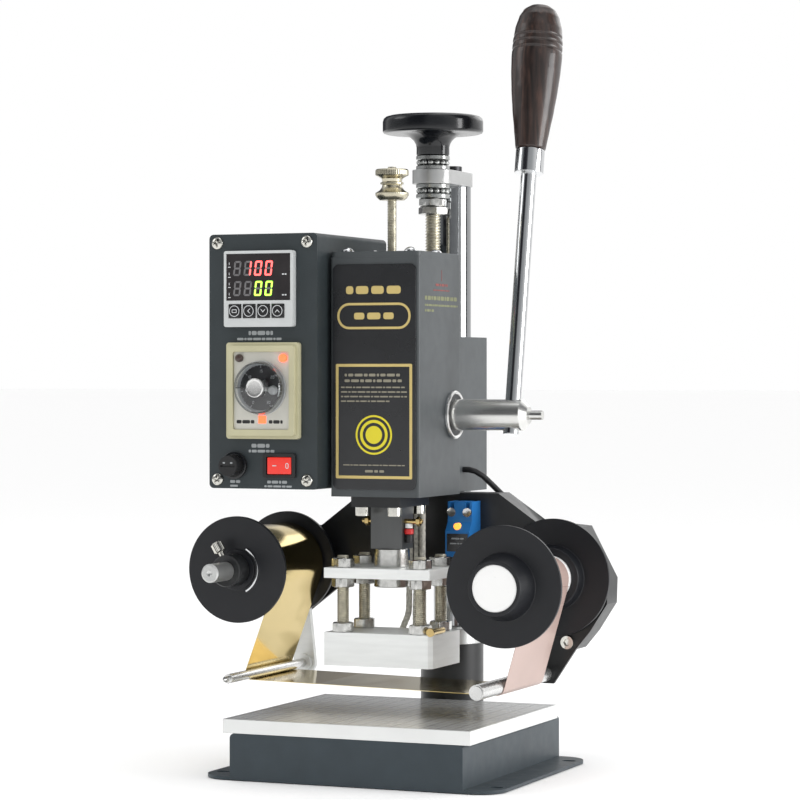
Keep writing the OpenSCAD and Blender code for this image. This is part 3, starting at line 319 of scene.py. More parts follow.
LOOK = {
    "casing": look("casing_paint", (0.062, 0.070, 0.074), 0.42, vary=0.07, specular=0.45, grain=0.10,
                   grain_scale=1500),
    "box": look("box_paint", (0.032, 0.041, 0.045), 0.46, vary=0.07, specular=0.4, grain=0.12,
                grain_scale=1500),
    "base": look("base_paint", (0.036, 0.050, 0.060), 0.40, specular=0.4, vary=0.08, grain=0.16,
                 grain_scale=1100),
    "black": look("black_paint", (0.012, 0.013, 0.014), 0.34, vary=0.10, grain=0.08,
                  grain_scale=1300),
    "black_gloss": look("black_moulded", (0.006, 0.007, 0.009), 0.20, rough_vary=0.04, coat=0.15),
    "black_plastic": look("black_plastic", (0.014, 0.014, 0.015), 0.36, grain=0.10),
    "label": look("label_enamel", (0.017, 0.018, 0.020), 0.24, rough_vary=0.03, coat=0.25),
    "gold_print": look("gold_print", (0.64, 0.50, 0.19), 0.36, metal=0.25, vary=0.05),
    "faint_print": look("faint_print", (0.26, 0.24, 0.18), 0.5, vary=0.05),
    "yellow_print": look("yellow_print", (0.72, 0.62, 0.02), 0.35, vary=0.02),
    "table": table_look(),
    "machined": look("machined_aluminium", (0.87, 0.885, 0.87), 0.38, metal=0.25, vary=0.04,
                     vary_scale=40, grain=0.10, grain_scale=500, stretch=(1, 1, 8)),
    "column": look("hard_chrome", (0.37, 0.38, 0.39), 0.10, metal=1.0, vary=0.03),
    "bearing": look("bearing_steel", (0.46, 0.47, 0.46), 0.26, metal=1.0, vary=0.08),
    "satin": look("satin_steel", (0.52, 0.525, 0.52), 0.34, metal=0.85, vary=0.05, grain=0.08),
    "frost": look("frosted_rim", (0.42, 0.44, 0.45), 0.30, vary=0.03),
    "rod": look("drawn_rod", (0.74, 0.74, 0.73), 0.26, metal=0.9, vary=0.05),
    "chrome": look("chrome", (0.70, 0.71, 0.72), 0.09, metal=1.0, vary=0.03, rough_vary=0.03),
    "nickel": look("nickel", (0.66, 0.65, 0.60), 0.13, metal=1.0, vary=0.10, vary_scale=200),
    "zinc": look("zinc", (0.60, 0.60, 0.58), 0.24, metal=1.0, vary=0.16, vary_scale=220),
    "thread": look("zinc_thread", (0.60, 0.57, 0.47), 0.34, metal=0.85, vary=0.20,
                   vary_scale=300),
    "turned": look("turned_steel", (0.62, 0.63, 0.62), 0.32, metal=0.85, vary=0.08,
                   grain=0.10, grain_scale=900),
    "ground": look("ground_steel", (0.74, 0.74, 0.72), 0.24, metal=0.9, vary=0.06,
                   grain=0.08, grain_scale=700, stretch=(0.2, 1, 1)),
    "dark_steel": look("black_oxide", (0.045, 0.045, 0.048), 0.32, metal=0.9, vary=0.15),
    "ram": look("ram_steel", (0.12, 0.124, 0.124), 0.34, metal=0.6, vary=0.12,
                grain=0.15, grain_scale=600, stretch=(1, 1, 0.15)),
    "bronze": look("bronze", (0.58, 0.38, 0.15), 0.32, metal=1.0, grain=0.1),
    "brass": look("brass", (0.62, 0.46, 0.20), 0.20, metal=1.0, vary=0.1),
    "pale_brass": look("nickel_brass", (0.58, 0.54, 0.42), 0.26, metal=1.0, vary=0.10,
                       vary_scale=160),
    "bezel": look("bezel_grey", (0.56, 0.58, 0.58), 0.36, vary=0.03, grain=0.05),
    "window": look("dark_window", (0.036, 0.033, 0.034), 0.07, rough_vary=0.02, coat=0.6),
    "cream": look("timer_cream", (0.50, 0.475, 0.31), 0.36, vary=0.04, grain=0.05),
    "recess": look("timer_recess", (0.62, 0.61, 0.55), 0.40, metal=0.25, vary=0.05),
    "dial": look("dial_face", (0.030, 0.031, 0.033), 0.38, vary=0.05),
    "clear": plain_material("clear_dome", {"Base Color": (0.96, 0.97, 0.98, 1), "Roughness": 0.03,
                                           "Transmission Weight": 1.0, "IOR": 1.49}),
    "key": look("key_black", (0.012, 0.012, 0.013), 0.30, grain=0.05),
    "rocker": look("rocker_red", (0.62, 0.020, 0.012), 0.20, coat=0.4, vary=0.05,
                   glow=(0.9, 0.05, 0.03, 0.25)),
    "led_red": look("digit_red", (0.9, 0.10, 0.08), 0.4, glow=(1.0, 0.10, 0.10, 2.6)),
    "led_green": look("digit_green", (0.5, 0.85, 0.1), 0.4, glow=(0.42, 1.0, 0.08, 1.6)),
    "led_off": look("digit_off", (0.16, 0.155, 0.16), 0.5),
    "lamp_red": look("lamp_red", (0.9, 0.12, 0.05), 0.25, glow=(1.0, 0.10, 0.03, 2.2)),
    "lamp_amber": look("lamp_amber", (1.0, 0.55, 0.10), 0.25, glow=(1.0, 0.26, 0.03, 1.8)),
    "lamp_off": look("lamp_off", (0.06, 0.04, 0.035), 0.22),
    "sensor": look("sensor_blue", (0.020, 0.17, 0.48), 0.40, vary=0.05, grain=0.06, specular=0.3),
    "disc": look("disc_charcoal", (0.007, 0.008, 0.011), 0.44, vary=0.06, grain=0.06),
    "white": look("core_white", (0.88, 0.88, 0.87), 0.30, vary=0.01),
    "foil": foil_look("foil_gold", (0.60, 0.47, 0.20, 1), (0.36, 0.26, 0.07, 1)),
    # A lighter copy of the same gold foil for the middle span: painted highlight for the span's
    # glancing reflection
    "foil_painted_bright": foil_look("foil_gold_painted_bright", (0.82, 0.72, 0.46, 1), (0.62, 0.49, 0.23, 1)),
    "foil_back": look("foil_back", (0.50, 0.37, 0.33), 0.36, vary=0.05, vary_scale=20,
                      metal=0.2),
    "wood": wood_look(),
    "rubber": look("cable_black", (0.012, 0.012, 0.013), 0.38, grain=0.05),
    "sleeve": look("lead_sleeve", (0.60, 0.585, 0.52), 0.72, vary=0.30, vary_scale=500,
                   grain=0.5, grain_scale=1500, sheen=0.2),
    "relay": look("relay_white", (0.66, 0.65, 0.60), 0.40, grain=0.05),
    "red_sleeve": look("red_sleeve", (0.62, 0.02, 0.02), 0.40),
}
for name, colour in {"white_print": (0.62, 0.64, 0.65), "dim_print": (0.32, 0.34, 0.35),
                     "green_print": (0.19, 0.20, 0.10), "red_print": (0.22, 0.045, 0.04),
                     "black_print": (0.02, 0.02, 0.02)}.items():
    LOOK[name] = look(name, colour, 0.5, vary=0.04)


# ---------- mesh helpers ----------
def build(name, bm, look_name, body, slot, smooth=32.0):
    """A finished mesh object from bm, in metres, riding on a body."""
    bmesh.ops.recalc_face_normals(bm, faces=bm.faces)
    mesh = bpy.data.meshes.new(name)
    bm.to_mesh(mesh)
    bm.free()
    for face in mesh.polygons:
        face.use_smooth = True
    mesh.set_sharp_from_angle(angle=math.radians(smooth))
    mesh.materials.append(LOOK[look_name])
    piece = bpy.data.objects.new(name, mesh)
    bpy.context.scene.collection.objects.link(piece)
    if body:
        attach(piece, body)
        even = piece.modifiers.new("even_normals", "WEIGHTED_NORMAL")
        even.keep_sharp = True
    return piece


def bevel_sharp(bm, width, angle=30.0, segments=2):
    """Rounds the edges that turn by more than angle, width in millimetres."""
    limit = math.radians(angle)
    sharp = [e for e in bm.edges if len(e.link_faces) == 2 and e.calc_face_angle(0.0) > limit]
    if sharp and width:
        bmesh.ops.bevel(bm, geom=sharp, offset=width * MM, offset_type="OFFSET",
                        segments=segments, profile=0.5, affect="EDGES", clamp_overlap=True,
                        material=-1)


def cad_mesh(node):
    bm = bmesh.new()
    bm.from_mesh(frame["nodes"][node].data)
    bmesh.ops.remove_doubles(bm, verts=bm.verts, dist=1e-6)
    bm.verts.index_update()
    return bm


def islands(bm):
    """The points of each separate solid, with its lowest and highest corner in millimetres."""
    left = set(bm.verts)
    for first in bm.verts:
        island, front = [], [first]
        while front:
            vert = front.pop()
            if vert in left:
                left.discard(vert)
                island.append(vert)
                front.extend(e.other_vert(vert) for e in vert.link_edges)
        if island:
            yield island, [Vector([pick(v.co[i] for v in island) for i in range(3)]) / MM
                           for pick in (min, max)]


def solids(node):
    """The lowest and highest corner of each of a CAD node's solids, in millimetres."""
    bm = cad_mesh(node)
    found = [corners for _, corners in islands(bm)]
    bm.free()
    return sorted(found, key=lambda corners: tuple(round(c, 2) for c in corners[0]))


def dress(node, rules, bevel=0.3, angle=30.0):
    """Bevelled copies of a CAD node's solids stand for it. rules is the name of one look, or a
    function that gives a solid's name and look from its lowest and highest corner."""
    whole = cad_mesh(node)
    groups = {}
    for island, (low, high) in islands(whole):
        key = (node, rules) if isinstance(rules, str) else rules(low, high)
        groups.setdefault(key, set()).update(v.index for v in island)
    for (name, look_name), keep in groups.items():
        part = whole.copy()
        bmesh.ops.delete(part, geom=[v for v in part.verts if v.index not in keep],
                         context="VERTS")
        bmesh.ops.dissolve_limit(part, angle_limit=math.radians(0.4), verts=part.verts,
                                 edges=part.edges)
        bevel_sharp(part, bevel, angle)
        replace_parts(build("look_" + name, part, look_name, BODY[node], SLOT[node]), node)
    whole.free()


def paint(node, rule, bevel=0.3, angle=30.0):
    """One bevelled copy of a CAD node. rule gives a face's look from its middle and normal."""
    bm = cad_mesh(node)
    looks = []
    for face in bm.faces:
        look_name = rule(face.calc_center_median() / MM, face.normal)
        if look_name not in looks:
            looks.append(look_name)
        face.material_index = looks.index(look_name)
    bmesh.ops.dissolve_limit(bm, angle_limit=math.radians(0.4), verts=bm.verts, edges=bm.edges,
                             delimit={"MATERIAL"})
    bevel_sharp(bm, bevel, angle)
    piece = build("look_" + node, bm, looks[0], BODY[node], SLOT[node])
    for look_name in looks[1:]:
        piece.data.materials.append(LOOK[look_name])
    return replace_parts(piece, node)


def off_axis(point, x, z):
    """The distance of a point from an axis along Y through x and z."""
    return math.hypot(point.x - x, point.z - z)


def solid(faces_of, name, look_name, body, slot, bevel=0.0, smooth=32.0):
    """Builds one piece from a function that fills a bmesh, in millimetres."""
    bm = bmesh.new()
    faces_of(bm)
    bmesh.ops.scale(bm, vec=(MM, MM, MM), verts=bm.verts)
    bmesh.ops.recalc_face_normals(bm, faces=bm.faces)
    bevel_sharp(bm, bevel)
    return build(name, bm, look_name, body, slot, smooth)


def ring_points(cx, cz, r, n, start=0.0):
    return [(cx + r * math.cos(start + 2 * math.pi * i / n),
             cz + r * math.sin(start + 2 * math.pi * i / n)) for i in range(n)]


def rounded_rect(cx, cz, w, h, r, n=6):
    points = []
    for k, (sx, sz) in enumerate([(1, 1), (-1, 1), (-1, -1), (1, -1)]):
        for i in range(n + 1):
            a = math.pi / 2 * (k + i / n)
            points.append((cx + sx * (w / 2 - r) + r * math.cos(a),
                           cz + sz * (h / 2 - r) + r * math.sin(a)))
    return points


def join_rings(bm, low, high):
    """Faces between two closed rings of points. A ring of one point is a closed end."""
    n = max(len(low), len(high))
    for i in range(n):
        j = (i + 1) % n
        if len(low) == 1:
            bm.faces.new((low[0], high[j], high[i]))
        elif len(high) == 1:
            bm.faces.new((low[i], low[j], high[0]))
        else:
            bm.faces.new((low[i], low[j], high[j], high[i]))


def prism(bm, outline, y0, y1, hole=None):
    """An outline in X and Z, extruded from y0 to y1, with a hole of as many points."""
    outer = [[bm.verts.new((x, y, z)) for x, z in outline] for y in (y0, y1)]
    join_rings(bm, *outer)
    if hole is None:
        bm.faces.new(outer[0])
        bm.faces.new(outer[1])
        return
    inner = [[bm.verts.new((x, y, z)) for x, z in hole] for y in (y0, y1)]
    join_rings(bm, *inner)
    for rim, edge in zip(outer, inner):
        join_rings(bm, rim, edge)


def printed(name, outlines, y, look_name, node, depth=0.12, holes=None):
    """Thin raised marks on a face that looks towards the operator."""
    holes = holes or [None] * len(outlines)

    def fill(bm):
        for outline, hole in zip(outlines, holes):
            prism(bm, outline, y - depth, y + 0.05, hole)
    return solid(fill, name, look_name, BODY[node], SLOT[node])


def bar(cx, cz, w, h):
    return rounded_rect(cx, cz, w, h, min(w, h) * 0.3, 2)


def word_bars(x0, x1, z, h, seed, gap=0.9):
    """A row of small plain bars of mixed lengths between x0 and x1."""
    row, x, k = [], x0, seed
    while x < x1 - 1.2:
        w = min(1.6 + (k * 7 % 5) * 0.95, x1 - x)
        row.append(bar(x + w / 2, z, w, h))
        x += w + gap
        k += 1
    return row


def washer(bore, r, z0, z1, broken):
    """The profile of a disc or a ring with broken edges."""
    return [(bore, z0), (r - broken, z0), (r, z0 + broken), (r, z1 - broken), (r - broken, z1),
            (bore, z1)]


def lathe(bm, profile, n, at, axis, wave=None, closed=False):
    """Turns (radius, height) points about an axis through at. A radius of 0 closes an end.
    wave gives the change of radius at a profile point and an angle. closed joins the ends."""
    turn = Vector((0, 0, 1)).rotation_difference(Vector(axis)).to_matrix()
    rings = []
    for k, (r, h) in enumerate(profile):
        ring = []
        for i in range(n if r else 1):
            a = 2 * math.pi * i / n
            radius = r + (wave(k, i) if wave and r else 0)
            point = Vector((radius * math.cos(a), radius * math.sin(a), h))
            ring.append(bm.verts.new(Vector(at) + turn @ point))
        rings.append(ring)
    for low, high in zip(rings, rings[1:]):
        join_rings(bm, low, high)
    if closed:
        join_rings(bm, rings[-1], rings[0])
    return rings


def turned(name, profile, at, axis, look_name, node, n=64, wave=None, smooth=32.0, closed=False):
    return solid(lambda bm: lathe(bm, profile, n, at, axis, wave, closed), name, look_name,
                 BODY[node], SLOT[node], smooth=smooth)


def thread(bm, x, y, z0, z1, r, pitch, depth, n=28):
    """A screw thread along Z: a sheared grid that follows the helix, closed at both ends."""
    steps = [(r - depth, 0.0), (r - depth, 0.14), (r, 0.44), (r, 0.64)]
    turns = int((z1 - z0) / pitch) + 2
    grid = []
    for i in range(n):
        a = 2 * math.pi * i / n
        column = []
        for t in range(-1, turns):
            for radius, part in steps:
                z = z0 + pitch * (t + part + i / n)
                end = min(1.0, max(0.0, min(z - z0, z1 - z) / pitch))
                radius_here = (r - depth) + (radius - r + depth) * end
                column.append(bm.verts.new((x + radius_here * math.cos(a),
                                            y + radius_here * math.sin(a),
                                            min(z1, max(z0, z)))))
        grid.append(column)
    rows = len(grid[0])
    for i in range(n):
        for k in range(rows - 1):
            if i < n - 1:
                bm.faces.new((grid[i][k], grid[i + 1][k], grid[i + 1][k + 1], grid[i][k + 1]))
            elif k + 5 < rows:
                bm.faces.new((grid[i][k], grid[0][k + 4], grid[0][k + 5], grid[i][k + 1]))
    bmesh.ops.remove_doubles(bm, verts=bm.verts, dist=1e-4)
    open_edges = [e for e in bm.edges if len(e.link_faces) == 1]
    bmesh.ops.holes_fill(bm, edges=open_edges, sides=0)


def hex_nut(bm, x, y, z0, z1, across, bore, turn=0.0):
    """A hexagon nut with rounded corners top and bottom."""
    n = 48
    edge = across / 2

    def corner(k, i):
        a = 2 * math.pi * i / n - turn
        folded = (a + math.pi / 6) % (math.pi / 3) - math.pi / 6
        return edge / math.cos(folded) - edge if k in (2, 3) else 0.0
    profile = [(bore, z0), (edge * 0.96, z0), (edge, z0 + across * 0.035),
               (edge, z1 - across * 0.035), (edge * 0.96, z1), (bore, z1)]
    lathe(bm, profile, n, (x, y, 0), (0, 0, 1), corner, closed=True)


# ---------- plain nodes: the CAD shape with broken edges ----------
for node, look_name, width in [
        ("base_plate", "base", 0.2), ("work_table", "table", 0.5), ("column_socket", "black", 0.6),
        ("column_collar", "turned", 0.3), ("column", "column", 0.4), ("top_bracket", "satin", 0.5),
        ("head_cover", "casing", 0.6), ("label_plate", "label", 0.25),
        ("rear_block", "casing", 0.7), ("lift_nut", "bronze", 0.3),
        ("guide_flange", "black", 0.5), ("ram_guide", "bronze", 0.2), ("control_box", "box", 0.8),
        ("control_panel", "box", 0.35), ("relay", "relay", 0.4), ("gear_motor", "turned", 0.4),
        ("motor_cable", "rubber", 0.0), ("ram_bar", "ram", 0.3), ("upper_plate", "machined", 0.35),
        ("heating_block", "machined", 0.4), ("pinion_shaft", "ground", 0.25),
        ("fuse_cap", "black_plastic", 0.4), ("cable_gland", "black_plastic", 0.3),
        ("supply_discs", "disc", 0.5), ("takeup_discs", "disc", 0.5), ("rocker", "rocker", 0.5)]:
    dress(node, look_name, width)

dress("base_frame", "base", 0.6)
dress("head_casing", "casing", 1.1, 60.0)
dress("bushes", lambda low, high: ("column_bushes", "bronze") if high.y > 60
      else ("shaft_bushes", "chrome"), 0.3)
dress("return_spring", "zinc", 0.0)


# ---------- nodes that hold several solids ----------
dress("stand_screws", "dark_steel", 0.25)
dress("head_screws", lambda low, high: ("cover_screws", "chrome") if high.z > 330
      else ("guide_screws", "nickel") if high.y < 20 else ("block_bolts", "dark_steel"), 0.2)
dress("panel_fittings", "black_plastic", 0.3)
dress("heater_elements", lambda low, high: ("probe_clamp", "brass") if low.x > 20
      else ("heater_sheaths", "turned"), 0.2)
dress("lever_rod", "chrome", 0.5)

PANEL_Y = box("control_panel")[0].y
CTRL_FRONT = box("temp_controller")[0].y
TIMER_FRONT = PANEL_Y - 6.5
TIMER_X, TIMER_Z = middle("timer").x, middle("timer").z
DIAL_Z = middle("timer_knob").z
SENSOR = middle("photo_sensor")
SENSOR_LAMP_Z, SENSOR_LABEL_Z, SENSOR_FACE_Y = 154.6, 144.2, 30
FEEDER_Y = box("feeder_plate")[0].y + 3.4
SUPPLY_X, SUPPLY_Z = middle("supply_foil").x, middle("supply_foil").z
TAKEUP_X, TAKEUP_Z = middle("takeup_core").x, middle("takeup_core").z


def controller_rule(p, normal):
    if abs(p.y - CTRL_FRONT - 0.2) < 0.05 and normal.y < -0.9:
        return "window"
    return "bezel" if p.y < PANEL_Y else "black_plastic"


def timer_rule(p, normal):
    on_dial = off_axis(p, TIMER_X, DIAL_Z) < 16.1 and TIMER_FRONT + 0.9 < p.y < TIMER_FRONT + 1.99
    return "dial" if on_dial else "cream"


def feeder_rule(p, normal):
    # The raised front lips get bright nickel: a painted highlight for the light their edges catch on
    # the black plate
    if p.y < FEEDER_Y - 0.05:
        return "nickel"
    on_bolt = abs(p.y - 56) < 4.3 and abs(abs(p.x) - 12) < 4.3
    return "dark_steel" if on_bolt else "black"


def sensor_rule(p, normal):
    straight_on = abs(normal.y) < 0.1 or normal.y < -0.99
    if off_axis(p, SENSOR.x - 0.5, SENSOR_LAMP_Z) < 2.3 and straight_on:
        return "lamp_amber"
    return "chrome" if p.z > 160 and p.y < SENSOR_FACE_Y - 0.05 else "sensor"


def rod_rule(p, normal):
    return "machined" if p.x < 0 and p.y > 37.95 else "rod"


paint("temp_controller", controller_rule, 0.25)
paint("timer", timer_rule, 0.35)
paint("feeder_plate", feeder_rule, 0.5)
paint("photo_sensor", sensor_rule, 0.4)
paint("guide_rods", rod_rule, 0.2)
for node in ("key_mode", "key_shift", "key_down", "key_up"):
    dress(node, "key", 0.6)


# ---------- threads, nuts and bearings ----------
def threaded(name, node, rods, pitch, depth, look_name="thread"):
    def fill(bm):
        for x, y, z0, z1, r in rods:
            thread(bm, x, y, z0, z1, r, pitch, depth)
    piece = solid(fill, name, look_name, BODY[node], SLOT[node], smooth=40)
    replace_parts(piece, node)


def rods_of(node, least_length=15.0):
    return [((low.x + high.x) / 2, (low.y + high.y) / 2, low.z, high.z, (high.x - low.x) / 2)
            for low, high in solids(node) if high.z - low.z > least_length]


lift_low, lift_high = box("lift_screw")
lift_mid = middle("lift_screw")
bearing_low, bearing_high = box("screw_bearings")
LIFT_R = 5.0
LIFT_AXIS = (lift_mid.x, lift_mid.y, 0)
BALLS = 14
threaded("lift_thread", "lift_screw",
         [(lift_mid.x, lift_mid.y, lift_low.z, lift_high.z, LIFT_R)], 2.0, 0.75)
threaded("stop_thread", "stop_rod", rods_of("stop_rod"), 1.0, 0.42)
threaded("stud_threads", "studs", rods_of("studs"), 1.25, 0.5)


def lock_nuts(bm):
    top = bearing_low.z - 0.1
    for k, turn in enumerate((0.2, 0.65)):
        hex_nut(bm, lift_mid.x, lift_mid.y, top - 5.2 - k * 5.4, top - k * 5.4, 17, LIFT_R, turn)


solid(lock_nuts, "lock_nuts", "zinc", BODY["lift_screw"], SLOT["ram_nuts"])


def washers(bm):
    """The thrust bearings: two bright washers each, with a ring of balls between them."""
    r = (bearing_high.x - bearing_low.x) / 2
    for z0, h in BEARINGS:
        for low, high in ((0.0, 0.30), (0.70, 1.0)):
            lathe(bm, washer(LIFT_R + 0.4, r, z0 + h * low, z0 + h * high, 0.4), 64, LIFT_AXIS,
                  (0, 0, 1), closed=True)
        for i in range(BALLS):
            a = 2 * math.pi * i / BALLS
            at = Vector((lift_mid.x + (r - 2.0) * math.cos(a),
                         lift_mid.y + (r - 2.0) * math.sin(a), z0 + h / 2))
            bmesh.ops.create_icosphere(bm, subdivisions=2, radius=h * 0.21,
                                       matrix=Matrix.Translation(at))


def cages(bm):
    """The dark cages that hold the balls."""
    bore, r = LIFT_R + 1, bearing_high.x - 2.2
    for z0, h in BEARINGS:
        low, high = z0 + h * 0.3, z0 + h * 0.7
        lathe(bm, [(bore, low), (r, low), (r, high), (bore, high)], 64, LIFT_AXIS, (0, 0, 1),
              closed=True)


BEARINGS = [(low.z, high.z - low.z) for low, high in solids("screw_bearings")]
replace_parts(solid(washers, "thrust_bearings", "bearing", "stand", SLOT["screw_bearings"]),
            "screw_bearings")
solid(cages, "bearing_cages", "dark_steel", "stand", SLOT["stand_screws"])

ram_mid = middle("stop_rod")
plate_top = box("upper_plate")[1].z
block_low, block_high = box("heating_block")


def all_nuts(bm):
    for k, (low, high) in enumerate(solids("ram_nuts")):
        x, y = (low.x + high.x) / 2, (low.y + high.y) / 2
        if abs(x) > 5:
            hex_nut(bm, x, y, low.z, high.z, 13.0, 3.9, 0.3 + 0.37 * k)
        elif low.z > plate_top + 2:
            hex_nut(bm, x, y, low.z, high.z, 19.0, 6.0, 0.25)
        else:
            lathe(bm, washer(6.0, (high.x - low.x) / 2, low.z, high.z, 0.5), 48, (x, y, 0),
                  (0, 0, 1), closed=True)


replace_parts(solid(all_nuts, "plate_nuts", "zinc", "ram", SLOT["ram_nuts"]), "ram_nuts")


# ---------- handwheel ----------
WHEEL_PROFILE = [(0, 0), (10.2, 0), (10.8, 0.6), (10.8, 5.4), (11.3, 7.6), (12.6, 9.8), (14.6, 11.7),
                 (17.2, 13.2), (20, 14), (23, 14.3), (31, 14.3), (32.4, 14.8), (33, 16),
                 (33, 22), (32.4, 24.1), (31, 25.3), (28.8, 25.9), (25.6, 26), (24.8, 25.3),
                 (15.4, 25), (14.6, 25.8), (7, 26), (6.2, 25.6), (5.7, 24.6), (5.7, 22), (0, 22)]
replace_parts(turned("moulded_wheel", WHEEL_PROFILE, (lift_mid.x, lift_mid.y, box("handwheel")[0].z),
                   (0, 0, 1), "black_gloss", "handwheel", n=128, smooth=50), "handwheel")


# ---------- stop knob and grip ----------
knob_low, knob_high = box("stop_knob")
KNOB_R = (knob_high.x - knob_low.x) / 2
knob_h = knob_high.z - knob_low.z


def knurl(rows, depth):
    return lambda k, i: -depth if k in rows and i % 2 else 0.0


knob_profile = [(3.1, 0), (KNOB_R - 2.8, 0), (KNOB_R - 1.0, 1.5), (KNOB_R, 3.2), (KNOB_R, 4.6),
                (KNOB_R - 1.4, 5.4), (KNOB_R - 3.0, 6.6), (KNOB_R - 4.2, 8.4),
                (KNOB_R - 4.4, 9.6), (KNOB_R - 3.2, 10.2), (KNOB_R - 3.2, 11.2),
                (KNOB_R - 4.4, 11.8), (KNOB_R - 4.0, 13.6), (KNOB_R - 1.6, knob_h - 4.6),
                (KNOB_R - 0.6, knob_h - 4.2), (KNOB_R, knob_h - 3.6), (KNOB_R, knob_h - 0.8),
                (KNOB_R - 0.8, knob_h), (3.1, knob_h)]
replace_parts(turned("stop_knob_spool", knob_profile, (ram_mid.x, ram_mid.y, knob_low.z), (0, 0, 1),
                   "pale_brass", "stop_knob", n=96, wave=knurl((3, 4, 15, 16), 0.22),
                   closed=True), "stop_knob")

LEVER_TILT = math.radians(11)
SHAFT = Vector((71, middle("pinion_shaft").y, middle("pinion_shaft").z))
ALONG = Vector((0, math.sin(LEVER_TILT), math.cos(LEVER_TILT)))
GRIP_Z0 = 173.5


def grip_profile():
    outline = [(9.6, 0), (10.2, 4), (11.6, 14), (13.4, 26), (15, 40), (16, 52), (16.4, 62),
               (16.2, 72), (15.2, 81), (13.2, 88.5), (10.6, 93.2), (7, 95.9), (3.5, 96.9)]

    def radius(h):
        for (r0, h0), (r1, h1) in zip(outline, outline[1:]):
            if h0 <= h <= h1:
                s = (h - h0) / (h1 - h0)
                return r0 + (r1 - r0) * (s * s * (3 - 2 * s) * 0.25 + s * 0.75)
        return outline[-1][0]
    grooves = (66.0, 70.5, 75.0)
    points = [(0, 0.3), (8.6, 0.0)]
    for k in range(2, 194):
        h = k * 0.5
        dip = sum(0.55 * math.exp(-((h - g) / 0.55) ** 2) for g in grooves)
        points.append((radius(h) - dip, h))
    return points + [(0, 97.2)]


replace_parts(turned("wood_grip", grip_profile(), SHAFT + ALONG * GRIP_Z0, ALONG, "wood",
                   "lever_grip", n=72, smooth=60), "lever_grip")
BUSH_X = box("bushes")[1].x
turned("bush_shadow", [(10.2, 0), (13.9, 0), (13.9, 0.15), (10.2, 0.15)],
       (BUSH_X - 0.05, SHAFT.y, SHAFT.z), (1, 0, 0), "dark_steel", "bushes", n=96, closed=True)
turned("bush_rim", [(13.3, 0), (13.5, 0.9), (14.1, 1.4), (14.9, 1.3), (15.4, 0.7), (15.4, 0)],
       (BUSH_X - 0.1, SHAFT.y, SHAFT.z), (1, 0, 0), "rod", "bushes", n=96, closed=True)


# ---------- screw heads on the panel ----------
SCREW_R = 4.0


def cross_head(bm, x, y, z, r, height, turn):
    """A domed screw head that looks towards -Y, with a cross recess."""
    rows, n = 18, 72
    profile = [(0, -1.2), (r * 0.5, -1.2), (r * 0.5, 0), (r, 0), (r, 0.35)]
    profile += [(r * (1 - k / rows), 0.35 + (height - 0.35) * math.sqrt(1 - (1 - k / rows) ** 2))
                for k in range(1, rows)] + [(0, height)]
    rings = lathe(bm, profile, n, (x, y, z), (0, -1, 0))
    arm, half = r * 0.62, r * 0.15
    for ring in rings[5:]:
        for vert in ring:
            u, v = vert.co.x - x, vert.co.z - z
            a = abs(u * math.cos(turn) - v * math.sin(turn))
            b = abs(u * math.sin(turn) + v * math.cos(turn))
            if min(a, b) < half and max(a, b) < arm:
                vert.co.y += 0.28 * height * (1.6 - max(a, b) / arm)


def panel_heads(bm):
    centres = sorted({(round((l.x + h.x) / 2, 2), round((l.z + h.z) / 2, 2))
                      for l, h in solids("panel_screws")})
    for k, (x, z) in enumerate(centres):
        cross_head(bm, x, PANEL_Y, z, SCREW_R, 2.35, 0.5 + 0.9 * k)


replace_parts(solid(panel_heads, "panel_screw_heads", "nickel", "head", SLOT["panel_screws"]),
            "panel_screws")


# ---------- label plate ----------
label_low, label_high = box("label_plate")
label_y = label_low.y
LABEL_TOP = label_high.z


def frame_outline(cx, cz, w, h, r, line):
    return rounded_rect(cx, cz, w, h, r), rounded_rect(cx, cz, w - 2 * line, h - 2 * line,
                                                       max(0.2, r - line))


def label_prints():
    badge, badge_hole = frame_outline(0, LABEL_TOP - 32.5, 50, 16.5, 8.0, 1.5)
    window, window_hole = frame_outline(0, LABEL_TOP - 98.5, 52, 72, 0.8, 1.8)
    printed("label_frames", [badge, window], label_y, "gold_print", "label_plate", 0.14,
            [badge_hole, window_hole])
    z = LABEL_TOP - 16.2
    heading = [bar(x, z, w, 5.0) for x, w in ((-16.5, 5.0), (-8.0, 8.5), (2.5, 8.5), (13.5, 9.5))]
    middle_bars = [bar(x, LABEL_TOP - 32.5, w, 4.2) for x, w in ((-10, 7), (0, 9), (10, 7))]
    printed("label_heading", heading + middle_bars, label_y, "gold_print", "label_plate")
    rows = []
    for k in range(2):
        rows += word_bars(-20, 19, LABEL_TOP - 69.5 - 3.6 * k, 1.7, k)
    for k in range(4):
        rows += word_bars(-22.5, 22.5 if k < 3 else 12, LABEL_TOP - 77.2 - 2.9 * k, 0.9, 3 + k, 0.6)
    rows += word_bars(-21, 21, LABEL_TOP - 126.0, 0.7, 9, 0.5)
    rows += word_bars(-6, 7, LABEL_TOP - 129.8, 1.5, 2)
    printed("label_rows", rows, label_y, "faint_print", "label_plate")
    # A plain target of three rings fills the lower half
    centre = LABEL_TOP - 107.0
    rings = [(12.4, 11.2), (9.4, 7.6), (5.6, 0)]
    printed("label_rings", [ring_points(0, centre, r, 48) for r, _ in rings], label_y,
            "yellow_print", "label_plate", 0.14,
            [ring_points(0, centre, hole, 48) if hole else None for _, hole in rings])


label_prints()


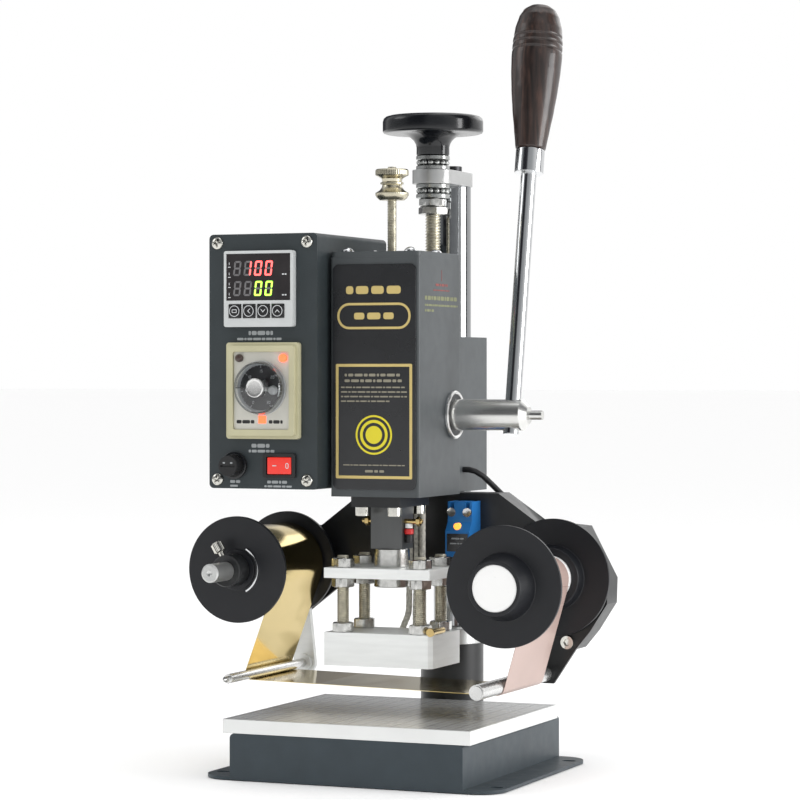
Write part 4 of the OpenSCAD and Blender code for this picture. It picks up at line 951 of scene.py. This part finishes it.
def side_prints():
    """Small generic bars on the right side of the casing, which looks towards +X."""
    face = box("head_casing")[1].x
    rows = {"red_print": word_bars(-12, 8, 309.0, 1.6, 2) + word_bars(-16, 12, 305.6, 0.8, 4, 0.6)
            + [bar(-2, 315.0, 0.7, 7.0)],
            "green_print": word_bars(-30, 25, 300.5, 2.6, 1) + word_bars(-30, 25, 296.0, 1.3, 5, 0.6)
            + word_bars(-30, -14, 292.6, 1.6, 3)}
    for look_name, outlines in rows.items():
        def fill(bm, outlines=outlines):
            for outline in outlines:
                prism(bm, outline, -face - 0.1, -face + 0.05)
            bmesh.ops.rotate(bm, verts=bm.verts, cent=(0, 0, 0),
                             matrix=Matrix.Rotation(math.pi / 2, 3, "Z"))
        solid(fill, "side_" + look_name, look_name, "head", SLOT["head_casing"])


side_prints()


# ---------- control panel ----------
SEGMENTS = {"0": "abcdef", "1": "bc", "2": "abged", "3": "abgcd", "5": "afgcd", " ": ""}
DIGIT_W, DIGIT_H, DIGIT_PITCH, STROKE = 5.0, 9.4, 7.3, 1.15


def segment_outline(x, z, name):
    """One of a digit's seven strokes, as a pointed bar; the digit leans to the right."""
    half_w, half_h = DIGIT_W / 2, DIGIT_H / 2
    flat = {"a": half_h, "g": 0.0, "d": -half_h}
    s = STROKE / 2
    if name in flat:
        reach, up = half_w - 0.25, flat[name] - (s if name == "a" else -s if name == "d" else 0)
        points = [(-reach, up), (-reach + s, up + s), (reach - s, up + s), (reach, up),
                  (reach - s, up - s), (-reach + s, up - s)]
    else:
        side = half_w - s if name in "bc" else -half_w + s
        low, high = (0.25, half_h - 0.25) if name in "bf" else (-half_h + 0.25, -0.25)
        points = [(side, low), (side + s, low + s), (side + s, high - s), (side, high),
                  (side - s, high - s), (side - s, low + s)]
    return [(x + px + 0.12 * pz, z + pz) for px, pz in points]


CTRL_X, CTRL_Z = middle("temp_controller").x, middle("temp_controller").z
glass_y = CTRL_FRONT + 0.2


def readout(name, digits, lit_look, z):
    lit, unlit = [], []
    for k, digit in enumerate(digits):
        x = CTRL_X - 14.6 + k * DIGIT_PITCH
        for stroke in "abcdefg":
            (lit if stroke in SEGMENTS[digit] else unlit).append(segment_outline(x, z, stroke))
    printed(name + "_lit", lit, glass_y, lit_look, "temp_controller", 0.08)
    printed(name + "_unlit", unlit, glass_y, "led_off", "temp_controller", 0.04)


readout("actual", " 100", "led_red", CTRL_Z + 12.9)
readout("target", "  00", "led_green", CTRL_Z + 0.2)
marks = []
for row in range(4):
    z = CTRL_Z + 16.0 - row * 6.4
    marks += [bar(CTRL_X - 20.3, z, 0.35, 1.6), bar(CTRL_X - 20.2, z - 2.2, 1.8, 0.5)]
for z in (CTRL_Z + 9.0, CTRL_Z - 4.0):
    marks += [bar(CTRL_X + 17.2, z, 1.3, 0.9), bar(CTRL_X + 19.0, z, 1.3, 0.9)]
printed("controller_marks", marks, glass_y, "white_print", "temp_controller", 0.05)


def arrow(x, z, turn, size=1.5, line=0.55):
    """An open arrowhead, pointing right before it is turned."""
    points = [(-size * 0.5, size), (size * 0.6, 0), (-size * 0.5, -size),
              (-size * 0.5 - line, -size), (size * 0.6 - line * 1.3, 0), (-size * 0.5 - line, size)]
    c, s = math.cos(turn), math.sin(turn)
    return [(x + px * c - pz * s, z + px * s + pz * c) for px, pz in points]


for node, icon in (("key_mode", None), ("key_shift", math.pi), ("key_down", -math.pi / 2),
                   ("key_up", math.pi / 2)):
    centre, face_y = middle(node), box(node)[0].y
    circle = ring_points(centre.x, centre.z, 3.55, 32)
    outlines, holes = [circle], [ring_points(centre.x, centre.z, 3.15, 32)]
    if icon is None:
        outlines.append(rounded_rect(centre.x, centre.z, 3.4, 2.2, 0.4, 3))
        holes.append(rounded_rect(centre.x, centre.z, 2.6, 1.4, 0.2, 3))
    else:
        outlines.append(arrow(centre.x, centre.z, icon))
        holes.append(None)
    printed(node + "_mark", outlines, face_y, "white_print", node, 0.06, holes)


def timer_trim():
    plate = rounded_rect(TIMER_X, TIMER_Z, 38.8, 48.8, 1.3)
    hole = ring_points(TIMER_X, DIAL_Z, 3.2, len(plate))
    printed("timer_recess", [plate], TIMER_FRONT + 1.95, "recess", "timer", 0.3, [hole])
    low_row = TIMER_Z - 19.6
    printed("timer_square", [rounded_rect(TIMER_X + 0.4, low_row + 1.4, 5.2, 4.8, 0.3, 2)],
            TIMER_FRONT + 1.65, "lamp_red", "timer", 0.25)
    words = word_bars(TIMER_X - 17.5, TIMER_X - 4.5, low_row, 2.2, 1, 0.5)
    words += word_bars(TIMER_X + 5.0, TIMER_X + 16, low_row, 2.2, 3, 0.5)
    printed("timer_words", words, TIMER_FRONT + 1.65, "black_print", "timer", 0.06)
    ticks = []
    for k in range(31):
        a = math.radians(240 - 10 * k)
        inner, outer = (12.6, 15.2) if k % 5 == 0 else (13.9, 15.2)
        half = 0.012 if k % 5 == 0 else 0.008
        ticks.append([(TIMER_X + r * math.cos(a + d), DIAL_Z + r * math.sin(a + d))
                      for r, d in ((inner, -half), (outer, -half), (outer, half), (inner, half))])
    printed("dial_ticks", ticks, dial_y, "white_print", "timer", 0.06)
    printed("dial_numbers", dial_numbers(), dial_y, "white_print", "timer", 0.06)


def dial_numbers():
    """The numbers 0 to 30 round the dial, drawn as seven-stroke figures."""
    outlines, scale = [], 0.20
    for k, number in enumerate(("0", "5", "10", "15", "20", "25", "30")):
        a = math.radians(240 - 50 * k)
        cx, cz = TIMER_X + 10.6 * math.cos(a), DIAL_Z + 10.6 * math.sin(a)
        for place_in, digit in enumerate(number):
            shift = (place_in - (len(number) - 1) / 2) * 1.5
            for stroke in SEGMENTS[digit]:
                outlines.append([(cx + shift + px * scale, cz + pz * scale)
                                 for px, pz in segment_outline(0, 0, stroke)])
    return outlines


dial_y = TIMER_FRONT + 1.0
timer_trim()

DOME_R = 17.0
DOME_FRONT = TIMER_FRONT - 6.5
DOME_BACK = TIMER_FRONT + 0.7
CAP_FRONT = box("timer_knob")[0].y


def timer_dome():
    back, depth = DOME_BACK, DOME_BACK - DOME_FRONT
    profile = [(6.3, depth), (DOME_R - 3.4, depth), (DOME_R - 1.6, depth - 0.5),
               (DOME_R - 0.7, depth - 1.8), (DOME_R, 0.6), (DOME_R - 0.2, 0.0),
               (DOME_R - 1.2, 0.0), (DOME_R - 1.9, depth - 2.2), (DOME_R - 3.6, depth - 1.5),
               (6.3, depth - 1.5)]
    dome = turned("timer_dome", profile, (TIMER_X, back, DIAL_Z), (0, -1, 0), "clear",
                  "timer_knob", n=72, closed=True)
    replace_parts(dome, "timer_knob")
    reach = back - CAP_FRONT
    cap = [(0, -2.2), (2.5, -2.2), (2.5, 0.2), (6.1, 0.2), (6.1, reach - 0.7), (5.4, reach - 0.1),
           (4.6, reach - 0.25), (4.2, reach - 0.35), (0, reach - 0.35)]
    turned("timer_cap", cap, (TIMER_X, back, DIAL_Z), (0, -1, 0), "rod", "timer_knob", n=64,
           wave=knurl((3, 4), 0.12))
    pointer = [(TIMER_X - DOME_R + 2.2, DIAL_Z - 0.3), (TIMER_X - 7.0, DIAL_Z - 0.3),
               (TIMER_X - 7.0, DIAL_Z + 0.3), (TIMER_X - DOME_R + 2.2, DIAL_Z + 0.3)]
    printed("timer_pointer", [pointer], DOME_FRONT + 1.7, "black_print", "timer_knob", 0.1)


timer_dome()
turned("dome_rim", [(DOME_R - 2.6, 0), (DOME_R + 0.2, 0), (DOME_R + 0.2, 1.6), (DOME_R - 0.3, 2.2),
                    (DOME_R - 1.6, 1.8), (DOME_R - 2.6, 1.2)],
       (TIMER_X, dial_y + 0.9, DIAL_Z), (0, -1, 0), "frost", "timer_knob", n=96, closed=True)
for side, look_name in ((-1, "lamp_off"), (1, "lamp_red")):
    lamp_name = "timer_lamp_right" if side > 0 else "timer_lamp_left"
    turned(lamp_name, [(0, 0), (2.5, 0), (2.5, 2.2), (2.2, 2.8), (1.4, 3.2), (0, 3.4)],
           (TIMER_X + side * 15.2, TIMER_FRONT + 1.9, TIMER_Z + 20.5), (0, -1, 0), look_name,
           "timer", n=40, smooth=60)
turned("dial_pointer", [(0, 0), (3.0, 0), (2.8, 1.6), (2.2, 2.4), (0, 2.7)],
       (TIMER_X + 8.6, dial_y, DIAL_Z - 1.5), (0, -1, 0), "bezel", "timer_knob", n=40)

captions = []
for x0, x1, z, h, seed in [(-80, -63, 278.6, 2.6, 0), (-88, -56, 274.8, 1.5, 4),
                           (-78, -64, 207.4, 2.4, 1), (-80, -62, 204.0, 1.7, 5),
                           (-93, -86, 184.6, 1.8, 1), (-93, -86.5, 181.9, 1.2, 2),
                           (-67, -52, 184.6, 1.8, 3), (-69, -50, 181.9, 1.2, 0)]:
    captions += word_bars(x0, x1, z, h, seed, 0.55)
printed("panel_captions", captions, PANEL_Y, "dim_print", "control_panel", 0.06)

fuse_mid = middle("fuse_cap")
fuse_low = box("fuse_cap")[0]
turned("fuse_rim", [(7.2, 2.5), (8.3, 2.5), (8.6, 2.8), (8.6, 3.1), (8.2, 3.3), (7.2, 3.3)],
       (fuse_mid.x, PANEL_Y, fuse_mid.z), (0, -1, 0), "black_gloss", "panel_fittings", closed=True)
printed("fuse_marks", [bar(fuse_mid.x - 2.6, fuse_mid.z + 1.9, 1.6, 0.9),
                       bar(fuse_mid.x + 2.6, fuse_mid.z + 1.9, 1.6, 0.9)],
        fuse_low.y, "dim_print", "fuse_cap", 0.05)


def rocker_marks():
    """A short bar and a ring on the rocker's tilted halves."""
    pin = Vector((middle("rocker").x, PANEL_Y + 3.5, middle("rocker").z))

    def fill(bm):
        prism(bm, bar(0, 0, 2.6, 0.55), -0.1, 0.1)
        start = len(bm.verts)
        prism(bm, rounded_rect(0, 0, 2.2, 3.6, 1.05, 5), -0.1, 0.1,
              rounded_rect(0, 0, 1.3, 2.7, 0.62, 5))
        bm.verts.ensure_lookup_table()
        slope = math.atan2(1.6, 7.9)
        for side, verts in ((-1, bm.verts[:start]), (1, bm.verts[start:])):
            place_mark = (Matrix.Translation(pin) @ Matrix.Rotation(math.radians(7), 4, "Z")
                          @ Matrix.Translation((side * 4.2, -6.45, 0))
                          @ Matrix.Rotation(-side * slope, 4, "Z"))
            bmesh.ops.transform(bm, matrix=place_mark, verts=verts)
    solid(fill, "rocker_marks", "white_print", "rocker", SLOT["rocker"])


rocker_marks()

sensor_y = box("photo_sensor")[0].y
printed("sensor_label", [rounded_rect(SENSOR.x, SENSOR_LABEL_Z, 14.4, 11.5, 0.5, 3)], sensor_y,
        "label", "photo_sensor", 0.12)
printed("sensor_rows", word_bars(SENSOR.x - 4, SENSOR.x + 5, SENSOR_LABEL_Z + 2.6, 1.0, 2, 0.5)
        + word_bars(SENSOR.x - 5, SENSOR.x + 5, SENSOR_LABEL_Z - 0.6, 0.8, 4, 0.5),
        sensor_y - 0.12, "dim_print", "photo_sensor", 0.05)


# ---------- foil ----------
FOIL_T = 0.3
FOIL_GAP = 0.2
ROLL_GAP = 0.3
LOOP_X = box("foil_span")[1].x
foil_y0, foil_y1 = box("foil_runs")[0].y, box("foil_runs")[1].y


def seen_from_front(low, high):
    """The middle in X and Z and half the width of something round about Y."""
    return Vector(((low.x + high.x) / 2, (low.z + high.z) / 2)), (high.x - low.x) / 2


WOUND, wound_r = seen_from_front(*box("supply_foil"))
WOUND_R = wound_r + ROLL_GAP
CORE, core_r = seen_from_front(*box("takeup_core"))
CORE_R = core_r + ROLL_GAP
ROD_L = Vector((-85.5, 61.3))
ROD_L_R = 3.0 + FOIL_GAP
ROD_R, rod_r = seen_from_front(*max((c for c in solids("guide_rods") if c[1].z < 80),
                                    key=lambda c: c[1].x))
ROD_R_R = rod_r + FOIL_GAP


def unit(a):
    return Vector((math.cos(a), math.sin(a)))


def angle_of(v):
    return math.atan2(v.y, v.x)


down, up, across = ROD_L - WOUND, CORE - ROD_R, ROD_R - ROD_L
DOWN_A = angle_of(down) + math.acos((WOUND_R + ROD_L_R + FOIL_T) / down.length)
UP_A = angle_of(up) - math.acos((ROD_R_R - CORE_R) / up.length)
ACROSS_A = angle_of(across) - math.pi / 2 - math.asin((ROD_R_R - ROD_L_R) / across.length)


def span_point(x, e):
    a, b = ROD_L + ROD_L_R * unit(ACROSS_A), ROD_R + ROD_R_R * unit(ACROSS_A)
    return a + (b - a) * (x - a.x) / (b.x - a.x) + e * unit(ACROSS_A)


def arc(centre, r, a0, a1, n=16):
    return [centre + r * unit(a0 + (a1 - a0) * i / n) for i in range(n + 1)]


def straight(a, b, n):
    return [a + (b - a) * i / n for i in range(n + 1)]


def strip(name, faces, look_name, node, body):
    """A thin closed strip between two rows of points, given as a function of the offset."""
    def fill(bm):
        rows = 10
        width = foil_y1 - foil_y0
        upper, lower = [[[bm.verts.new((p.x, foil_y0 + width * k / rows, p.y)) for p in faces(e)]
                         for k in range(rows + 1)] for e in (0.0, FOIL_T)]
        n = len(upper[0])
        for sheet in (upper, lower):
            for row, after in zip(sheet, sheet[1:]):
                for i in range(n - 1):
                    bm.faces.new((row[i], row[i + 1], after[i + 1], after[i]))
        for k in range(rows):
            for i in (0, n - 1):
                bm.faces.new((upper[k][i], upper[k + 1][i], lower[k + 1][i], lower[k][i]))
        for k in (0, rows):
            for i in range(n - 1):
                bm.faces.new((upper[k][i], upper[k][i + 1], lower[k][i + 1], lower[k][i]))
    return solid(fill, name, look_name, body, SLOT[node], smooth=40)


turn_l = ACROSS_A + 2 * math.pi


def supply_points(e):
    arc_points = arc(ROD_L, ROD_L_R + FOIL_T - e, DOWN_A + math.pi, turn_l)
    wrap = arc(WOUND, WOUND_R + e, DOWN_A + math.radians(175), DOWN_A, 60)
    return wrap[:-1] + straight(wrap[-1], arc_points[0], 24)[:-1] + arc_points


def left_points(e):
    start = ROD_L + (ROD_L_R + FOIL_T - e) * unit(ACROSS_A)
    return straight(start, span_point(-LOOP_X, FOIL_T - e), 24)


def middle_points(e):
    return straight(span_point(-LOOP_X, e), span_point(LOOP_X, e), 24)


def right_points(e):
    return straight(span_point(LOOP_X, e), ROD_R + (ROD_R_R + e) * unit(ACROSS_A), 24)


def takeup_points(e):
    arc_points = arc(ROD_R, ROD_R_R + e, ACROSS_A, UP_A)
    return arc_points[:-1] + straight(arc_points[-1], CORE + (CORE_R + e) * unit(UP_A), 24)


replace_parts(strip("foil_supply", supply_points, "foil", "foil_runs", "head"), "foil_runs")
strip("foil_takeup", takeup_points, "foil_back", "foil_runs", "head")
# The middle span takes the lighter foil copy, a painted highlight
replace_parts(strip("foil_middle", middle_points, "foil_painted_bright", "foil_span", "foil_loop"), "foil_span")
for name, points, edge in (("foil_left", left_points, -LOOP_X),
                           ("foil_right", right_points, LOOP_X)):
    side = strip(name, points, "foil", "foil_runs", None)
    rod_x = points(0)[0].x if edge < 0 else points(0)[-1].x
    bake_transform(side)

turned("wound_foil", [(6.2, 0), (WOUND_R - 0.4, 0), (WOUND_R - 0.3, 0.2)]
       + [(WOUND_R - 0.3 - 0.12 * math.sin(k * 1.7) ** 2, 2.0 + k * 3.0) for k in range(23)]
       + [(WOUND_R - 0.3, foil_y1 - foil_y0 - 0.2), (WOUND_R - 0.4, foil_y1 - foil_y0),
          (6.2, foil_y1 - foil_y0)],
       (WOUND.x, foil_y0, WOUND.y), (0, 1, 0), "foil", "supply_foil", n=96, closed=True)
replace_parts(bpy.data.objects["wound_foil"], "supply_foil")
turned("wound_back", [(CORE_R - 0.35, 0), (CORE_R - 0.12, 0), (CORE_R - 0.12, foil_y1 - foil_y0),
                      (CORE_R - 0.35, foil_y1 - foil_y0)],
       (CORE.x, foil_y0, CORE.y), (0, 1, 0), "foil_back", "takeup_core", n=72, closed=True)


# ---------- spindles ----------
core_y0, core_y1 = box("takeup_core")[0].y, box("takeup_core")[1].y
spindle_y0, spindle_y1 = box("supply_spindle")[0].y, box("supply_spindle")[1].y
COLLAR_Y = -61.5


def on_supply(name, profile, y, look_name, **more):
    return turned(name, profile, (SUPPLY_X, y, SUPPLY_Z), (0, 1, 0), look_name, "supply_spindle",
                  **more)


core = turned("paper_core", [(0, 0), (13.9, 0), (14.4, 0.2), (14.6, 0.7), (14.6, 106.1),
                             (14.1, 106.6), (4.2, 106.6), (4.2, 4.0), (0, 4.0)],
              (TAKEUP_X, core_y0, TAKEUP_Z), (0, 1, 0), "white", "takeup_core", n=96)
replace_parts(core, "takeup_core")
turned("drive_spindle", [(0, 0), (3.9, 0), (3.9, 106), (3.4, core_y1 - core_y0 - 4.2),
                         (0, core_y1 - core_y0 - 4.2)],
       (TAKEUP_X, core_y0 + 4.2, TAKEUP_Z), (0, 1, 0), "turned", "takeup_core")
length = spindle_y1 - spindle_y0
spindle = on_supply("roll_spindle", [(0, 0.9), (1.2, 0.7), (2.0, 0), (5.0, 0), (5.9, 0.9),
                                     (5.9, length - 0.8), (5.2, length), (0, length)],
                    spindle_y0, "turned", n=72)
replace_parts(spindle, "supply_spindle")
on_supply("roll_collar", [(6.0, 0.2), (9.4, 0), (10.2, 0.8), (10.2, 13.5), (9.4, 14.3),
                          (6.0, 14.3)], COLLAR_Y, "black", closed=True)
on_supply("rear_collar", [(6.0, 0), (9.5, 0), (10, 0.5), (10, 7.5), (9.5, 8), (6.0, 8)],
          spindle_y1 - 10, "nickel", closed=True)
THUMB = Vector((-math.sin(math.radians(30)), 0, math.cos(math.radians(30))))
turned("thumb_screw", [(0, 9.5), (1.9, 9.5), (1.9, 13.2), (3.2, 13.2), (3.9, 13.9), (3.9, 19.4),
                       (3.2, 20.1), (1.6, 20.1), (1.2, 19.7), (0, 19.7)],
       (SUPPLY_X, COLLAR_Y + 7, SUPPLY_Z), THUMB, "nickel", "supply_spindle", n=48,
       wave=knurl((4, 5), 0.22))


# ---------- painted highlight arc on the supply disc ---
def hub_highlight_arc(bm):
    """A chrome arc on the right half of the front disc only: a painted highlight for the light the
    disc's hub edge catches.
    """
    n, r0, r1 = 20, 14.6, 15.9
    angles = [math.radians(-62 + 124 * i / n) for i in range(n + 1)]
    outline = [(SUPPLY_X + r1 * math.cos(a), SUPPLY_Z + r1 * math.sin(a)) for a in angles]
    outline += [(SUPPLY_X + r0 * math.cos(a), SUPPLY_Z + r0 * math.sin(a)) for a in angles[::-1]]
    prism(bm, outline, DISC_FRONT - 1.6, DISC_FRONT + 0.1)


DISC_FRONT = box("supply_discs")[0].y + 1.2
# A chrome arc on the lit half of the disc: painted highlight
solid(hub_highlight_arc, "disc_hub_highlight", "chrome", BODY["supply_discs"], SLOT["supply_spindle"], bevel=0.25)


# ---------- heater leads ----------
def tube(bm, points, r, n=12):
    """A round tube along points, closed at both ends, with rings that don't twist."""
    side = Vector((0.31, 0.17, 0.93))
    rings = []
    for i, p in enumerate(points):
        ahead = (points[min(i + 1, len(points) - 1)] - points[max(i - 1, 0)]).normalized()
        u = (side - ahead * side.dot(ahead)).normalized()
        side = u
        v = ahead.cross(u)
        radius = r * (1 + 0.05 * math.sin(i * 2.4))
        rings.append([bm.verts.new(p + radius * (math.cos(2 * math.pi * k / n) * u
                                                 + math.sin(2 * math.pi * k / n) * v))
                      for k in range(n)])
    for low, high in zip(rings, rings[1:]):
        join_rings(bm, low, high)
    bm.faces.new(rings[0])
    bm.faces.new(rings[-1])


def smooth_route(points, per=6):
    """A curve through given points."""
    made = []
    for i in range(len(points) - 1):
        p0, p1 = points[max(i - 1, 0)], points[i]
        p2, p3 = points[i + 1], points[min(i + 2, len(points) - 1)]
        for k in range(per):
            t = k / per
            made.append(0.5 * ((2 * p1) + (p2 - p0) * t + (2 * p0 - 5 * p1 + 4 * p2 - p3) * t * t
                               + (3 * p1 - p0 - 3 * p2 + p3) * t * t * t))
    return made + [points[-1]]


LEADS = [(-14, -1.4, 2.0), (2, 3, 1.5), (14, 7.4, 2.0)]
lead_y = block_high.y + 2
lead_z = block_low.z + 10
head_z0 = box("head_casing")[0].z


def lead_route(x0, x1):
    first = [(x0, lead_y, lead_z), (x0, lead_y + 2, lead_z),
             ((x0 * 3 + x1) / 4, lead_y + 4.4, lead_z + 1.6),
             ((x0 + x1) / 2, lead_y + 5.6, lead_z + 6), ((x0 + x1 * 3) / 4, lead_y + 5.6, lead_z + 13),
             (x1, lead_y + 5, lead_z + 21)]
    rest = [(x1, 21, 112), (x1, 22, 122), (x1, 22, 134), (x1, 22, 146), (x1, 22, 158),
            (x1, 22, head_z0)]
    return smooth_route([Vector(p) for p in first + rest])


def leads(bm):
    for x0, x1, r in LEADS:
        tube(bm, lead_route(x0, x1), r)


lead_piece = solid(leads, "heater_sleeves", "sleeve", None, SLOT["heater_leads"], smooth=60)
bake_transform(lead_piece)
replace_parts(lead_piece, "heater_leads")


# ---------- small trim on the ram ----------
RAM_SIDE = 10.7
CROSS_Z = 159.5
trim_y = ram_mid.y - 4


def trim_rods(bm):
    for x, length, r, way in ((RAM_SIDE - 0.5, 12.5, 1.6, 1), (-RAM_SIDE + 0.5, 8.5, 1.6, -1)):
        lathe(bm, [(0, 0), (r, 0), (r, length - 0.4), (r - 0.4, length), (0, length)], 20,
              (x, trim_y, CROSS_Z), (way, 0, 0))
    for x in (RAM_SIDE + 8.2, -RAM_SIDE - 5.5):
        lathe(bm, [(0, 0), (3.1, 0), (3.1, 2.4), (0, 2.4)], 6, (x, trim_y, CROSS_Z), (1, 0, 0))


solid(trim_rods, "ram_cross_screw", "brass", "ram", SLOT["stop_knob"], bevel=0.15)
for name, z, h, r, look_name in (("white_sleeve", 155.2, 3.0, 2.4, "white"),
                                 ("red_sleeve", 151.4, 3.4, 3.0, "red_sleeve"),
                                 ("black_sleeve", 146.0, 5.2, 2.3, "rubber")):
    turned(name, washer(0, r, 0, h, 0.3), (RAM_SIDE + 2.6, trim_y, z), (0, 0, 1), look_name,
           "ram_bar", n=32)
